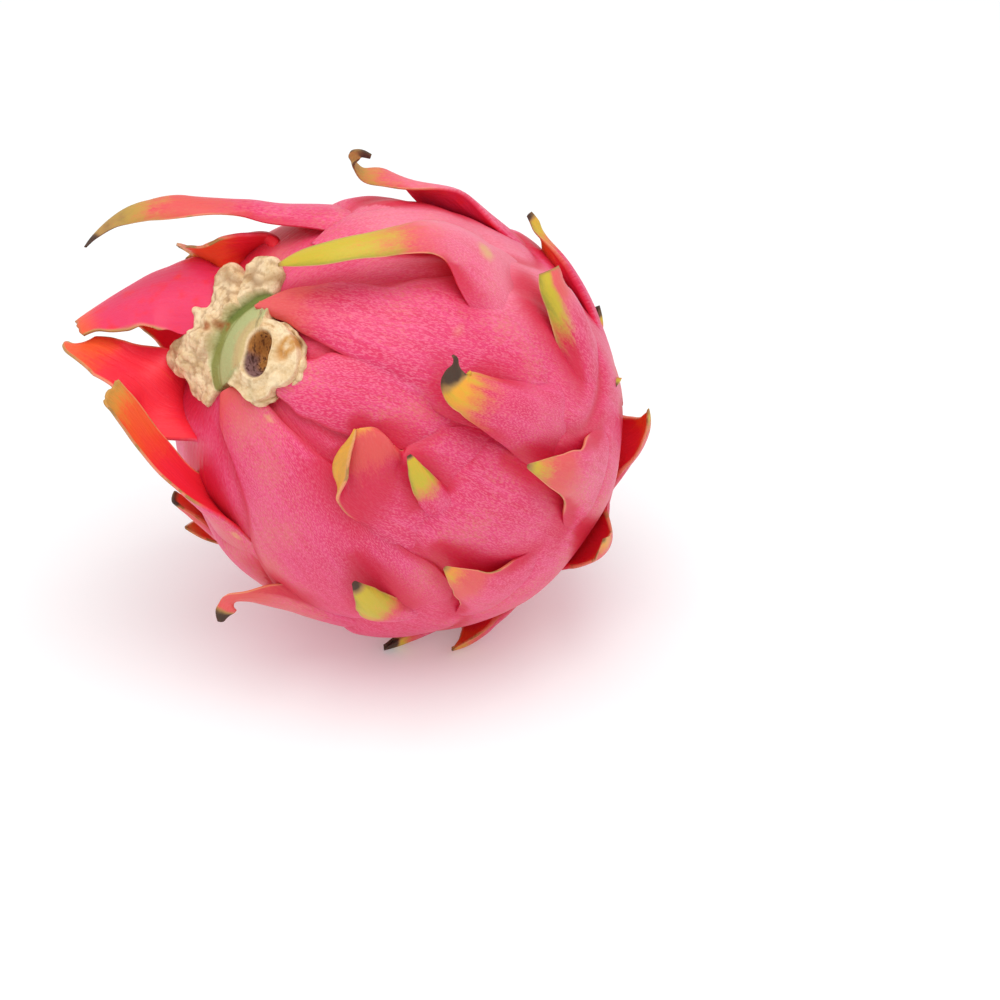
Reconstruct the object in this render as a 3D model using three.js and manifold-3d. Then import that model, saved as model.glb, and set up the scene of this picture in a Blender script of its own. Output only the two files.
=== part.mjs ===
// A dragon fruit (red pitaya), lying as it was picked: an egg of pink skin that carries some forty
// leafy bracts, the dry corky scar of the flower at one end and the cut stub of the stalk at the other.
//
// Millimetres, +Z up. The origin is the middle of the small flat spot that the fruit rests on.
// The fruit is drawn about its own axis first, with +Z towards the flower scar, and is then laid down.

import * as THREE from 'three';
import { mergeVertices } from 'three/addons/utils/BufferGeometryUtils.js';
import Module from 'manifold-3d';

// ---------------------------------------------------------------- driving dimensions
const BODY_RADIUS = 48; // half of the widest diameter
const BODY_HALF_LENGTH = 53; // half of the length, stalk to flower
const LEAN = 52; // degrees between the fruit's axis and the vertical, flower end up
const HEADING = 217; // degrees about the vertical that the flower end points to
const SPOT_DEPTH = 1.3; // how far the skin is flattened where the fruit rests
const SEAT_GAP = 0.3; // clear space between the skin and the pieces seated in it

const BODY_MERIDIANS = 42;
const BODY_RINGS = 23;
const BASE_THICKNESS = 3.4; // of a bract where it leaves the skin
const EDGE_THICKNESS = 0.9; // of a bract along its margins and at its tip
const SWELLING_LENGTH = 24; // how far below a bract its base swells out of the skin
const SUNK_MARGIN = -0.8; // height of the margins of a bract that grows out of the skin
const RAISED_MARGIN = 0.5; // height of the same margins past the first half of the bract
const PRESSED_MARGIN = 0.7; // height of the margins of a bract that lies pressed on the skin
const ROOT_DEPTH = 1.6; // how deep the underside of a lying bract is sunk into the skin
const LIFT_OFF = 3; // height at which a bract stops following the skin

const degrees = THREE.MathUtils.degToRad;

// ---------------------------------------------------------------- the bracts
// Each row of a path is [azimuth, polar angle, height, half width]: degrees round the axis from the
// underside, degrees down from the flower end, millimetres over the skin, and millimetres.
// "cup" bends the margins towards the fruit and "twist" turns the blade about its own length, both in
// degrees from root to tip. "swell" is how far the skin swells at the base of the bract. A pressed
// bract lies on the skin. "along" and "across" are the numbers of steps in its surface.
const BRACTS = [
  {
    name: 'crown top',
    along: 12,
    cup: [40, 50],
    twist: [0, -20],
    swell: 2.2,
    path: [
      [190, 62, -1.5, 12], [196, 51, 0.5, 10.5], [206, 38, 6, 7.5], [216, 32, 11.8, 5.6],
      [228, 27, 19.3, 5], [242, 26, 24.7, 4], [254, 26, 27.9, 2.8], [263, 24.5, 29.8, 1.4],
      [268, 22, 31, 0.4],
    ],
  },
  {
    name: 'crown small',
    cup: [40, 20],
    twist: [0, 25, 55, 75, 80, 80],
    swell: 1,
    path: [
      [216, 41, -2, 10], [225, 38, 1.5, 9], [231, 33, 3.5, 8.2], [239, 30, 5, 6.4],
      [246, 31.5, 7.5, 4.4], [251, 35, 9.8, 2.8], [255, 39.5, 11.9, 0.6],
    ],
  },
  {
    name: 'crown back',
    across: 6,
    cup: [40, 35],
    swell: 1,
    path: [
      [236, 21, 0.5, 11], [252, 22, 5.5, 13.5], [268, 26, 12, 12.2], [282, 30, 18.5, 9.6],
      [293, 33, 24.8, 6.4],
    ],
  },
  {
    name: 'crown left',
    along: 10,
    across: 6,
    cup: [30, 20],
    twist: [0, -40, -75, -100, -110, -95],
    swell: 1,
    path: [
      [337, 40, -1.5, 12], [328, 31, 2, 12.5], [319, 26, 9, 10.5], [309, 27, 17, 7],
      [302.5, 30, 22.6, 4.4], [300, 33, 23.6, 1.6],
    ],
  },
  {
    name: 'left long',
    along: 11,
    twist: [-10, -35, -60, -60],
    swell: 1.5,
    path: [
      [4, 74, -1, 12], [2, 61, 0.3, 13], [0, 48, 2.5, 8.5], [-3.5, 38, 6.4, 5.2],
      [-8, 28.5, 13, 4.6], [-12, 21.5, 19.4, 4.2], [-15.5, 18.3, 24.4, 4],
    ],
  },
  {
    name: 'left low',
    swell: 1.5,
    path: [
      [-19, 92, -1, 9], [-21, 84, 0.5, 8], [-24, 75, 2, 6.5], [-27, 67, 3.8, 4.5],
      [-29, 62, 5.5, 3],
    ],
  },
  {
    name: 'front lobe',
    pressed: true,
    across: 6,
    path: [
      [34, 94, -1, 16], [37, 82, 0.5, 20], [40, 66, 1, 19.5], [43, 51, 1.4, 16],
      [44.5, 38, 1.7, 12.5], [41, 27, 2, 9], [33, 18, 2.3, 6.5], [24, 13.2, 2.4, 2.5],
    ],
  },
  {
    name: 'under curl',
    along: 12,
    twist: [0, 20, 30, 25, -20, -60],
    swell: 1.5,
    path: [
      [26, 104, -1.5, 14], [21, 95, 0.3, 13], [18, 86, 1.2, 10], [16, 76, 2.7, 7.5],
      [14, 69, 5.2, 5], [13, 65, 8.4, 3], [12, 64, 10.6, 2.6], [11, 65, 12.7, 2.2],
      [10, 66.6, 14.2, 1],
    ],
  },
  {
    name: 'front fold',
    along: 11,
    across: 6,
    cup: [50, 45, 40, 30],
    swell: 1,
    path: [
      [78, 82, -1, 21], [77.5, 71, 0, 20], [76, 60, 2, 14.5], [75.5, 53, 4, 9.5],
      [78, 48, 5.4, 8.5], [82, 44.2, 6.4, 6], [85, 41.8, 7, 0.6],
    ],
  },
  {
    name: 'front tip',
    small: true,
    cup: [50, 60, 60],
    twist: [0, 10, 15],
    path: [
      [76, 74, -1, 5], [78, 69, 1.5, 4.6], [80.5, 64, 4.4, 3.8], [83.5, 59, 6.8, 2.8],
      [86, 55.5, 8, 1.6], [87.5, 53.5, 8.4, 0.6],
    ],
  },
  {
    name: 'low tip',
    small: true,
    cup: [50, 60, 60],
    twist: [0, 20, 30, 30],
    path: [
      [38, 95, -1, 7], [41, 87, 2, 6.2], [44.5, 79, 4.8, 5], [48, 72, 6.8, 3.6],
      [51, 64.5, 8.5, 0.6],
    ],
  },
  {
    name: 'right hook',
    along: 12,
    cup: [50, 60, 65, 70],
    swell: 1.5,
    path: [
      [111, 100, -1, 13], [110, 90, 1, 12.5], [109.5, 80, 3.6, 10], [109, 71.5, 6, 8],
      [108.5, 64.5, 7.8, 6.8], [108.8, 60, 9, 6.2], [109.8, 57, 9.8, 5.2], [111.5, 55, 10.2, 3.4],
      [113.5, 53.6, 10.6, 1.2], [114.5, 52.4, 11.8, 0.4],
    ],
  },
  {
    name: 'upper lobe',
    pressed: true,
    across: 6,
    path: [
      [125, 90, -1, 12], [124.5, 78, 0.5, 16], [124, 64, 1.2, 17], [125, 50, 1.6, 14.5],
      [128, 37, 2, 10.5], [137, 25, 2.4, 7.5], [147, 18, 2.8, 5], [156, 13, 3.1, 3],
      [167, 9.4, 3.2, 0.6],
    ],
  },
  {
    name: 'middle lobe',
    pressed: true,
    path: [
      [99, 62, -1, 7], [99, 54, 0.5, 9], [98, 44, 1, 10], [94, 34, 1.2, 9], [88, 25, 1.6, 6.5],
      [82, 19, 2, 4],
    ],
  },
  {
    name: 'upper long',
    along: 12,
    swell: 2,
    path: [
      [142, 84, -1, 15], [147, 74, 1.2, 15], [150, 66, 4.5, 13], [152.5, 58, 8, 9.5],
      [152.5, 51.5, 10.6, 6.2], [151, 44.5, 11.8, 4.6], [150, 37.5, 12.2, 4], [152, 30, 11.8, 3.4],
      [157.5, 24, 10.5, 2.4], [164, 19.5, 9, 0.6],
    ],
  },
  {
    name: 'top curl',
    along: 13,
    cup: [40, 20, 10],
    twist: [0, 5, 22, 42, 20, -35, -55, -60, -60, -60, -60],
    swell: 2,
    path: [
      [180, 108, -1, 13], [184, 98, 0.4, 12.5], [186, 88, 1.6, 10.5], [188, 78.5, 3.1, 8],
      [189, 69, 4.8, 5.5], [190.5, 58.5, 6.9, 3], [191, 52.8, 8, 1.8], [191, 50.4, 10.6, 1.1],
      [190.5, 49.8, 13, 1.3], [188.5, 50, 14.2, 1.2], [186.5, 51.5, 13.4, 0.6],
    ],
  },
  {
    name: 'top lobe',
    pressed: true,
    path: [
      [172, 80, -1, 12], [174, 66, 0.8, 14], [176, 53, 1.2, 12], [179, 42, 1.5, 8],
      [183, 33, 1.5, 4],
    ],
  },
  {
    name: 'right top',
    cup: [40, 20],
    twist: [0, 25, 45, 40, -10, -50, -60],
    swell: 1.5,
    path: [
      [158, 130, -1, 13], [164, 120, 1, 12], [167, 110, 2, 9], [170.5, 103, 2.9, 6],
      [175, 97, 4.6, 2.6], [177, 94.5, 5.5, 1.5], [178.5, 92.5, 6.4, 0.9],
    ],
  },
  {
    name: 'right flap',
    cup: [50, 60],
    twist: [0, -20, -25],
    swell: 1.5,
    path: [
      [132, 112, -1, 12], [134, 103, 0.8, 12], [136, 94, 3.2, 9], [139.5, 85, 5.8, 6],
      [142.5, 80, 7.8, 4.6], [145.5, 78, 9.2, 3.4],
    ],
  },
  {
    name: 'right dot',
    small: true,
    path: [[163, 134, -1, 6], [166, 129, 1.5, 4], [168, 125, 3.5, 2.2], [170, 122, 4.5, 0.6]],
  },
  {
    name: 'right low',
    small: true,
    twist: [0, 40, 50],
    path: [
      [150, 134, -1, 9], [146, 128, 0.5, 8], [141, 121, 0.6, 6], [136, 115, 0.6, 3.4],
      [132, 111, 0.2, 1.6],
    ],
  },
  {
    name: 'floor tip',
    small: true,
    path: [[26, 122, -1, 6], [23, 116, 1, 5], [20, 111, 3, 3.5], [18, 107, 4.4, 0.6]],
  },
];

// The far side, the belly and the stalk end carry plainer bracts, one for each row:
// [azimuth and polar angle of the root, reach in degrees, rise, half width, sideways turn in degrees].
const SPROUTS = [
  [222, 108, 40, 4, 14, 10], [248, 84, 42, 9, 14, 10], [276, 70, 36, 13, 13, 8],
  [304, 74, 34, 10, 13, -6], [326, 106, 34, 7, 13, 6], [290, 104, 44, 11, 14, 5],
  [260, 118, 42, 9, 14, -5], [232, 132, 40, 8, 14, 6], [200, 142, 30, 5, 13, -4],
  [278, 142, 36, 9, 13, 6], [310, 143, 30, 6, 12, -4], [103, 122, 44, 8, 15, -5],
  [64, 114, 38, 7, 14, 4], [36, 140, 24, 5, 12, -3], [84, 150, 36, 7, 13, 6], [124, 154, 34, 7, 13, 4],
  [168, 162, 26, 4, 10, 8], [240, 162, 32, 7, 11, 4],
];
const SPROUT_WIDTH = [0.95, 1, 0.84, 0.6, 0.38, 0.24, 0.05]; // share of the half width, root to tip
const SPROUT_HEIGHT = [-0.1, 0.12, 0.34, 0.6, 0.82, 0.96, 1]; // share of the rise

// ---------------------------------------------------------------- the dry flower scar
// A map of the flower end in degrees: x and y are the polar angle times the cosine and sine of the
// azimuth. The edge of the corky collar runs counter-clockwise through these places:
// [x and y on the map, height of the cork in millimetres].
const COLLAR_MIDDLE = [-1, 2];
const COLLAR_EDGE = [
  [18.7, -2, 1.5], [18.2, -0.6, 1.2], [15, 0.9, 1.2], [12, 3, 1.2], [11.2, 6.5, 1.6], [11, 10.5, 2],
  [12, 15.5, 2.6], [8.5, 19.5, 2.8], [5.6, 20, 2.6], [3.4, 22.5, 3], [-0.5, 24, 3.2], [-5.2, 22.3, 3.4],
  [-8.5, 18.5, 3.2], [-10.2, 12.5, 2.8], [-9.2, 7.5, 2], [-8.8, 3.3, 1.2], [-12, 2.8, 1.5],
  [-16.5, 1.8, 2], [-21.3, -1.2, 3], [-21.8, -7.6, 4.2], [-18.2, -11.5, 4], [-14.6, -11, 2.6],
  [-15.6, -16.5, 5], [-10.6, -19.4, 5.2], [-6.2, -15.8, 4], [-3, -14.6, 3.8], [-0.5, -18.2, 5],
  [4, -15.4, 5], [8.5, -18.8, 6.2], [13.6, -20.2, 6.2], [16.4, -16, 5], [15.6, -11, 3.4], [19, -8, 1.8],
];
const COLLAR_MERIDIANS = 66;
const COLLAR_SHARES = [0.15, 0.3, 0.42, 0.52, 0.62, 0.72, 0.82, 0.9, 0.96, 1]; // of the way to the edge
const COLLAR_LUMPS = 0.5;
const GROOVE_REACH = 17.3; // degrees from the stub's middle to the foot of the cork
const GROOVE_HEIGHT = 1.3;
const SCAR_SEAT = 1.2; // how deep the scar sits in the skin
// The stub in the collar, as circles round its middle: [reach in degrees, height in millimetres].
// On the side where the edge of the collar is near, the stub is a level plateau instead.
const STUB_MIDDLE = [-0.3, 12.2];
const STUB_CIRCLES = [
  [1.4, 0.4], [2.4, 1.4], [2.9, 4], [3.6, 5.3], [5, 5.2], [7, 4.5], [9.5, 3.5],
  [12, 2.6], [14.4, 1.7], [16, 0.6], [16.5, -0.8],
];
const STUB_SIDES = 36;
const STUB_PLATEAU = 4.3;
const PIT_BRIM = 3.6; // reach of the circle round the mouth of the pit
const PIT_TURN = 20; // degrees from the map's x axis to the long axis of the pit
const PIT_STRETCH = 0.8; // how much longer than wide the pit is

// ---------------------------------------------------------------- the cut stalk
const STALK_RADIUS = 5.5;
const STALK_HEIGHT = 4;
const STALK_SEAT = 1.5;
const STALK_SIDES = 28;

// ================================================================ curves and the skin
// 0 at edge0, 1 at edge1 and smooth between them; edge0 may be above edge1.
function smooth(edge0, edge1, x) {
  const t = THREE.MathUtils.clamp((x - edge0) / (edge1 - edge0), 0, 1);
  return t * t * (3 - 2 * t);
}

// A smooth curve through evenly spaced values (uniform Catmull-Rom), at u from 0 to 1.
function through(values, u) {
  const last = values.length - 1;
  if (last === 0) return values[0];
  const at = (k) => {
    if (k < 0) return 2 * values[0] - values[1];
    if (k > last) return 2 * values[last] - values[last - 1];
    return values[k];
  };
  const x = THREE.MathUtils.clamp(u, 0, 1) * last;
  const k = Math.min(Math.floor(x), last - 1);
  const f = x - k;
  const [a, b, c, d] = [at(k - 1), at(k), at(k + 1), at(k + 2)];
  const [square, cube] = [2 * a - 5 * b + 4 * c - d, 3 * b - a - 3 * c + d];
  return 0.5 * (2 * b + (c - a) * f + square * f ** 2 + cube * f ** 3);
}

function skinNormal(p) {
  const [round, long] = [BODY_RADIUS ** 2, BODY_HALF_LENGTH ** 2];
  return new THREE.Vector3(p.x / round, p.y / round, p.z / long).normalize();
}

// The point a given height over the smooth egg, at an azimuth and polar angle in degrees.
function skinPoint(azimuth, polar, height = 0) {
  const a = degrees(azimuth);
  const t = degrees(polar);
  const p = new THREE.Vector3(
    BODY_RADIUS * Math.sin(t) * Math.cos(a),
    BODY_RADIUS * Math.sin(t) * Math.sin(a),
    BODY_HALF_LENGTH * Math.cos(t),
  );
  return p.addScaledVector(skinNormal(p), height);
}

// The point of the egg on the line from its middle through p.
function ontoSkin(p) {
  const reach = Math.hypot(p.x / BODY_RADIUS, p.y / BODY_RADIUS, p.z / BODY_HALF_LENGTH);
  return p.clone().divideScalar(reach);
}

// ================================================================ closed solids from grids
// Two grids of points with the same rows and columns, one over the other, closed round their rim.
// Both faces are split along the same diagonals.
function closedSheet(outer, inner) {
  const rows = outer.length;
  const columns = outer[0].length;
  const count = rows * columns;
  const positions = [];
  for (const face of [outer, inner]) {
    for (const row of face) {
      for (const p of row) positions.push(p.x, p.y, p.z);
    }
  }
  const id = (i, j) => i * columns + j;
  const index = [];
  for (let i = 0; i < rows - 1; i += 1) {
    for (let j = 0; j < columns - 1; j += 1) {
      const [a, b, c, d] = [id(i, j), id(i, j + 1), id(i + 1, j + 1), id(i + 1, j)];
      index.push(a, b, c, a, c, d);
      index.push(count + a, count + c, count + b, count + a, count + d, count + c);
    }
  }
  const rim = [];
  for (let j = 0; j < columns - 1; j += 1) rim.push(id(0, j));
  for (let i = 0; i < rows - 1; i += 1) rim.push(id(i, columns - 1));
  for (let j = columns - 1; j > 0; j -= 1) rim.push(id(rows - 1, j));
  for (let i = rows - 1; i > 0; i -= 1) rim.push(id(i, 0));
  for (let k = 0; k < rim.length; k += 1) {
    const a = rim[k];
    const b = rim[(k + 1) % rim.length];
    index.push(b, a, count + a, b, count + a, count + b);
  }
  return closedGeometry(positions, index);
}

// A round skin of rings between two poles; point(ring, meridian) gives each place.
function closedRound(rings, meridians, point, first, last) {
  const positions = [first.x, first.y, first.z];
  for (let i = 1; i < rings; i += 1) {
    for (let j = 0; j < meridians; j += 1) {
      const p = point(i, j);
      positions.push(p.x, p.y, p.z);
    }
  }
  positions.push(last.x, last.y, last.z);
  const end = (rings - 1) * meridians + 1;
  const id = (i, j) => 1 + (i - 1) * meridians + (j % meridians);
  const index = [];
  for (let j = 0; j < meridians; j += 1) {
    index.push(0, id(1, j), id(1, j + 1));
    index.push(end, id(rings - 1, j + 1), id(rings - 1, j));
    for (let i = 1; i < rings - 1; i += 1) {
      index.push(id(i, j), id(i + 1, j), id(i + 1, j + 1));
      index.push(id(i, j), id(i + 1, j + 1), id(i, j + 1));
    }
  }
  return closedGeometry(positions, index);
}

// A geometry whose faces point outwards, whichever way its grid was walked.
function closedGeometry(positions, index) {
  let volume = 0;
  const corner = (k) => new THREE.Vector3(positions[3 * k], positions[3 * k + 1], positions[3 * k + 2]);
  for (let k = 0; k < index.length; k += 3) {
    const [a, b, c] = [corner(index[k]), corner(index[k + 1]), corner(index[k + 2])];
    volume += a.dot(b.cross(c));
  }
  const outward = volume > 0 ? index : index.toReversed();
  const geometry = new THREE.BufferGeometry();
  geometry.setAttribute('position', new THREE.Float32BufferAttribute(positions, 3));
  geometry.setIndex(outward);
  return geometry;
}

// ================================================================ joining and cutting
const wasm = await Module();
wasm.setup();

function toSolid(geometry) {
  const bare = geometry.clone();
  bare.deleteAttribute('normal');
  bare.deleteAttribute('uv');
  const merged = mergeVertices(bare, 1e-4);
  return new wasm.Manifold(new wasm.Mesh({
    numProp: 3,
    vertProperties: new Float32Array(merged.attributes.position.array),
    triVerts: new Uint32Array(merged.index.array),
  }));
}

function toGeometry(solid) {
  const mesh = solid.getMesh();
  const geometry = new THREE.BufferGeometry();
  geometry.setAttribute('position', new THREE.Float32BufferAttribute(mesh.vertProperties, 3));
  geometry.setIndex([...mesh.triVerts]);
  geometry.computeVertexNormals();
  return geometry;
}

// ================================================================ one bract
// The midrib runs through the path. Across it the blade is an arc that bends towards the fruit.
// Where the midrib is low the blade lies on the skin, and it stands free once it is higher.
function bractGeometry(bract) {
  const { path, cup = [50, 40], twist = [0], across = 4, along = 10 } = bract;
  const { small = false, pressed = false } = bract;
  const rows = small ? 6 : along;
  const columns = small ? 2 : across;
  const station = (u) => [0, 1, 2, 3].map((k) => through(path.map((row) => row[k]), u));
  const midrib = (u) => {
    const [azimuth, polar, height] = station(u);
    return skinPoint(azimuth, polar, height);
  };
  const outer = [];
  const inner = [];
  let sideBefore = null;
  for (let i = 0; i <= rows; i += 1) {
    const u = i / rows;
    const sunk = THREE.MathUtils.lerp(SUNK_MARGIN, RAISED_MARGIN, smooth(0.12, 0.45, u));
    const margin = pressed ? PRESSED_MARGIN : sunk;
    const [azimuth, polar, height, reach] = station(u);
    const halfWidth = Math.max(reach, 0.5);
    const middle = midrib(u);
    const ahead = midrib(Math.min(u + 0.01, 1)).sub(midrib(Math.max(u - 0.01, 0))).normalize();
    const up = skinPoint(azimuth, polar, height + 1).sub(middle);
    const side = new THREE.Vector3().crossVectors(up, ahead).normalize();
    if (sideBefore && side.dot(sideBefore) < 0) side.negate();
    sideBefore = side.clone();
    side.applyAxisAngle(ahead, degrees(through(twist, u)));
    const over = new THREE.Vector3().crossVectors(ahead, side);
    const bend = degrees(Math.max(through(cup, u), 1));
    const lying = 1 / (1 + Math.exp((height - LIFT_OFF) / 0.8));
    const outerRow = [];
    const innerRow = [];
    for (let j = 0; j <= columns; j += 1) {
      const v = (2 * j) / columns - 1;
      const free = middle.clone()
        .addScaledVector(side, (halfWidth * Math.sin(bend * v)) / bend)
        .addScaledVector(over, (-halfWidth * (1 - Math.cos(bend * v))) / bend);
      const freeNormal = over.clone().multiplyScalar(Math.cos(bend * v))
        .addScaledVector(side, Math.sin(bend * v));
      const foot = ontoSkin(free);
      const footNormal = skinNormal(foot);
      const fall = pressed ? v ** 4 : Math.abs(v) ** 3;
      const lyingHeight = height - (height - Math.min(height, margin)) * fall;
      const onSkin = foot.clone().addScaledVector(footNormal, lyingHeight);
      const top = free.lerp(onSkin, lying);
      const plump = THREE.MathUtils.lerp(BASE_THICKNESS, EDGE_THICKNESS, Math.sqrt(u));
      const freeThickness = THREE.MathUtils.lerp(plump, EDGE_THICKNESS, v * v);
      const thickness = THREE.MathUtils.lerp(freeThickness, lyingHeight + ROOT_DEPTH, lying);
      const down = freeNormal.lerp(footNormal, lying).normalize();
      outerRow.push(top);
      innerRow.push(top.clone().addScaledVector(down, -Math.max(thickness, EDGE_THICKNESS)));
    }
    outer.push(outerRow);
    inner.push(innerRow);
  }
  return closedSheet(outer, inner);
}

// The path of a plain bract: its own half width and rise, shared out over its stations.
function sproutPath([azimuth, polar, reach, rise, halfWidth, turn]) {
  return SPROUT_WIDTH.map((width, k) => {
    const u = k / (SPROUT_WIDTH.length - 1);
    return [azimuth + turn * u * u, polar - reach * u, rise * SPROUT_HEIGHT[k], halfWidth * width];
  });
}

const bracts = [
  ...BRACTS,
  ...SPROUTS.map((row) => ({ path: sproutPath(row), along: 6, swell: 1.5 })),
];

// ================================================================ the body
// The skin swells under each standing bract and falls away in the hollow in front of its root.
const swellings = bracts.filter((bract) => bract.swell).map(({ path, swell }) => {
  const root = skinPoint(path[1][0], path[1][1]);
  const ahead = skinPoint(path[2][0], path[2][1]).sub(skinPoint(path[0][0], path[0][1])).normalize();
  const side = new THREE.Vector3().crossVectors(skinNormal(root), ahead).normalize();
  return { root, ahead, side, swell, spread: 0.75 * path[1][3] };
});

function relief(p) {
  let height = 0;
  for (const { root, ahead, side, swell, spread } of swellings) {
    const offset = p.clone().sub(root);
    const along = offset.dot(ahead);
    const across = offset.dot(side) / spread;
    const near = smooth(2 * SWELLING_LENGTH, SWELLING_LENGTH, offset.length());
    const rising = smooth(-SWELLING_LENGTH, 0, along);
    const falling = 1 - smooth(0, 9, along);
    height += swell * near * rising * falling * Math.exp(-across * across);
    const hollow = smooth(1, 7, along) * (1 - smooth(9, 20, along));
    height -= 0.5 * swell * near * hollow * Math.exp(-across * across);
  }
  return height;
}

function bodyGeometry() {
  const point = (i, j) => {
    const p = skinPoint((360 * j) / BODY_MERIDIANS, (180 * i) / BODY_RINGS);
    return p.addScaledVector(skinNormal(p), relief(p));
  };
  const flowerPole = new THREE.Vector3(0, 0, BODY_HALF_LENGTH);
  const stalkPole = new THREE.Vector3(0, 0, -BODY_HALF_LENGTH);
  return closedRound(BODY_RINGS, BODY_MERIDIANS, point, flowerPole, stalkPole);
}

// ================================================================ the flower scar
function mapPoint(spot, height) {
  const azimuth = THREE.MathUtils.radToDeg(Math.atan2(spot.y, spot.x));
  return skinPoint(azimuth, Math.hypot(spot.x, spot.y), height);
}

const edgePlaces = COLLAR_EDGE.map((place) => new THREE.Vector3(...place));
const collarEdge = new THREE.CatmullRomCurve3(edgePlaces, true);
const collarMiddle = new THREE.Vector3(...COLLAR_MIDDLE, 0);
const stubMiddle = new THREE.Vector3(...STUB_MIDDLE, 0);

// Height of the collar at a share (0 to 1) of the way from its middle to its edge, where the cork's
// own height is "tall". The cork rises from a groove round the stub, and is lowered under the stub.
function collarHeight(spot, share, tall, turn) {
  const fromStub = Math.hypot(spot.x - stubMiddle.x, spot.y - stubMiddle.y);
  const wall = smooth(GROOVE_REACH, GROOVE_REACH + 1, fromStub);
  const rim = smooth(0.62, 0.85, share) * smooth(3, 7, spot.y);
  const lumps = COLLAR_LUMPS * Math.sin(14 * Math.PI * turn) * Math.sin(5 * share);
  const cork = tall * (0.82 + 0.18 * smooth(0.5, 0.85, share)) + lumps * Math.min(tall / 4, 1);
  const height = THREE.MathUtils.lerp(GROOVE_HEIGHT, cork, Math.max(wall, rim));
  const lowered = height - 2 * smooth(11, 9, fromStub);
  return lowered * (0.3 + 0.7 * Math.sqrt(1 - share ** 16));
}

// "grow" widens the scar all round, for the seat that is cut for it in the skin.
function collarGeometry(grow) {
  const rings = COLLAR_SHARES.length;
  const point = (i, j) => {
    const turn = j / COLLAR_MERIDIANS;
    const tangent = collarEdge.getTangent(turn);
    const outwards = new THREE.Vector3(tangent.y, -tangent.x, 0).normalize();
    const edge = collarEdge.getPoint(turn);
    const rim = edge.clone().setZ(0).addScaledVector(outwards, 1.4 * grow);
    if (i > rings) {
      const under = collarMiddle.clone().lerp(rim, i === rings + 1 ? 0.94 : 0.5);
      return mapPoint(under, -SCAR_SEAT - grow);
    }
    const share = COLLAR_SHARES[i - 1];
    const spot = collarMiddle.clone().lerp(rim, share);
    return mapPoint(spot, collarHeight(spot, share, edge.z, turn) + grow);
  };
  const top = mapPoint(collarMiddle, GROOVE_HEIGHT - 2 + grow);
  const seat = mapPoint(collarMiddle, -SCAR_SEAT - grow);
  return closedRound(rings + 3, COLLAR_MERIDIANS, point, top, seat);
}

// The bearings of the collar's edge seen from the stub's middle, and how far away it is there.
const bearings = collarEdge.getPoints(300).map((spot) => {
  const [x, y] = [spot.x - stubMiddle.x, spot.y - stubMiddle.y];
  return { x: x / Math.hypot(x, y), y: y / Math.hypot(x, y), room: Math.hypot(x, y) };
});

function roomAlong(spoke) {
  const aligned = ({ x, y }) => x * spoke.x + y * spoke.y;
  return bearings.reduce((best, bearing) => (aligned(bearing) > aligned(best) ? bearing : best)).room;
}

// Circles round the stub's middle, stretched to a slot up to the brim of the pit. Outside the brim
// they spread out to the edge of the stub, which stays inside the collar.
function stubGeometry(grow) {
  const furthest = STUB_CIRCLES[STUB_CIRCLES.length - 1][0];
  const point = (i, j) => {
    const [reach, height] = STUB_CIRCLES[i - 1];
    const angle = (2 * Math.PI * j) / STUB_SIDES;
    const spoke = new THREE.Vector3(Math.cos(angle), Math.sin(angle), 0);
    const room = Math.min(roomAlong(spoke) - 0.6, furthest);
    const stretch = 1 + PIT_STRETCH * Math.cos(angle - degrees(PIT_TURN)) ** 2;
    const outside = Math.max(reach - PIT_BRIM, 0) / (furthest - PIT_BRIM);
    const inside = Math.min(reach, PIT_BRIM) * stretch;
    const widened = inside + (room - inside) * outside + 1.4 * grow * (reach < 3 ? -1 : 1);
    const spot = stubMiddle.clone().addScaledVector(spoke, widened);
    const level = smooth(14.5, 11.5, room) * smooth(3.3, 4.2, reach) * smooth(16.2, 14.6, reach);
    const levelled = THREE.MathUtils.lerp(height, STUB_PLATEAU, level);
    return mapPoint(spot, levelled + (height < 0 ? -grow : grow));
  };
  const pitFloor = mapPoint(stubMiddle, STUB_CIRCLES[0][1] + grow);
  const seat = mapPoint(stubMiddle, -SCAR_SEAT - grow);
  return closedRound(STUB_CIRCLES.length + 1, STUB_SIDES, point, pitFloor, seat);
}

function scarSolid(grow = 0) {
  return toSolid(collarGeometry(grow)).add(toSolid(stubGeometry(grow)));
}

// ================================================================ the stalk stub
function stalkGeometry(grow = 0) {
  const foot = BODY_HALF_LENGTH - STALK_SEAT - grow;
  const end = BODY_HALF_LENGTH + STALK_HEIGHT;
  const radius = STALK_RADIUS + grow;
  const profile = [
    [0, -end], [0.62 * radius, -end], [0.8 * radius, -end + 0.9], [0.86 * radius, -end + 2],
    [radius, -foot - 1.2], [radius, -foot], [0, -foot],
  ].map(([x, y]) => new THREE.Vector2(x, y));
  return new THREE.LatheGeometry(profile, STALK_SIDES).rotateX(Math.PI / 2);
}

// ================================================================ laying the fruit down
const lying = new THREE.Group();
lying.rotation.set(0, degrees(LEAN), degrees(HEADING), 'ZYX');
lying.updateMatrix();

// The skin's lowest point once the fruit leans: where its normal points straight down.
const downwards = new THREE.Vector3(0, 0, -1).applyQuaternion(lying.quaternion.clone().invert());
const lowest = new THREE.Vector3(
  downwards.x * BODY_RADIUS ** 2, downwards.y * BODY_RADIUS ** 2, downwards.z * BODY_HALF_LENGTH ** 2,
);
const support = Math.hypot(
  downwards.x * BODY_RADIUS, downwards.y * BODY_RADIUS, downwards.z * BODY_HALF_LENGTH,
);
lowest.divideScalar(support);
lying.position.copy(lowest.clone().applyQuaternion(lying.quaternion)).multiplyScalar(-1);
lying.position.z -= SPOT_DEPTH;
lying.updateMatrix();

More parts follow.
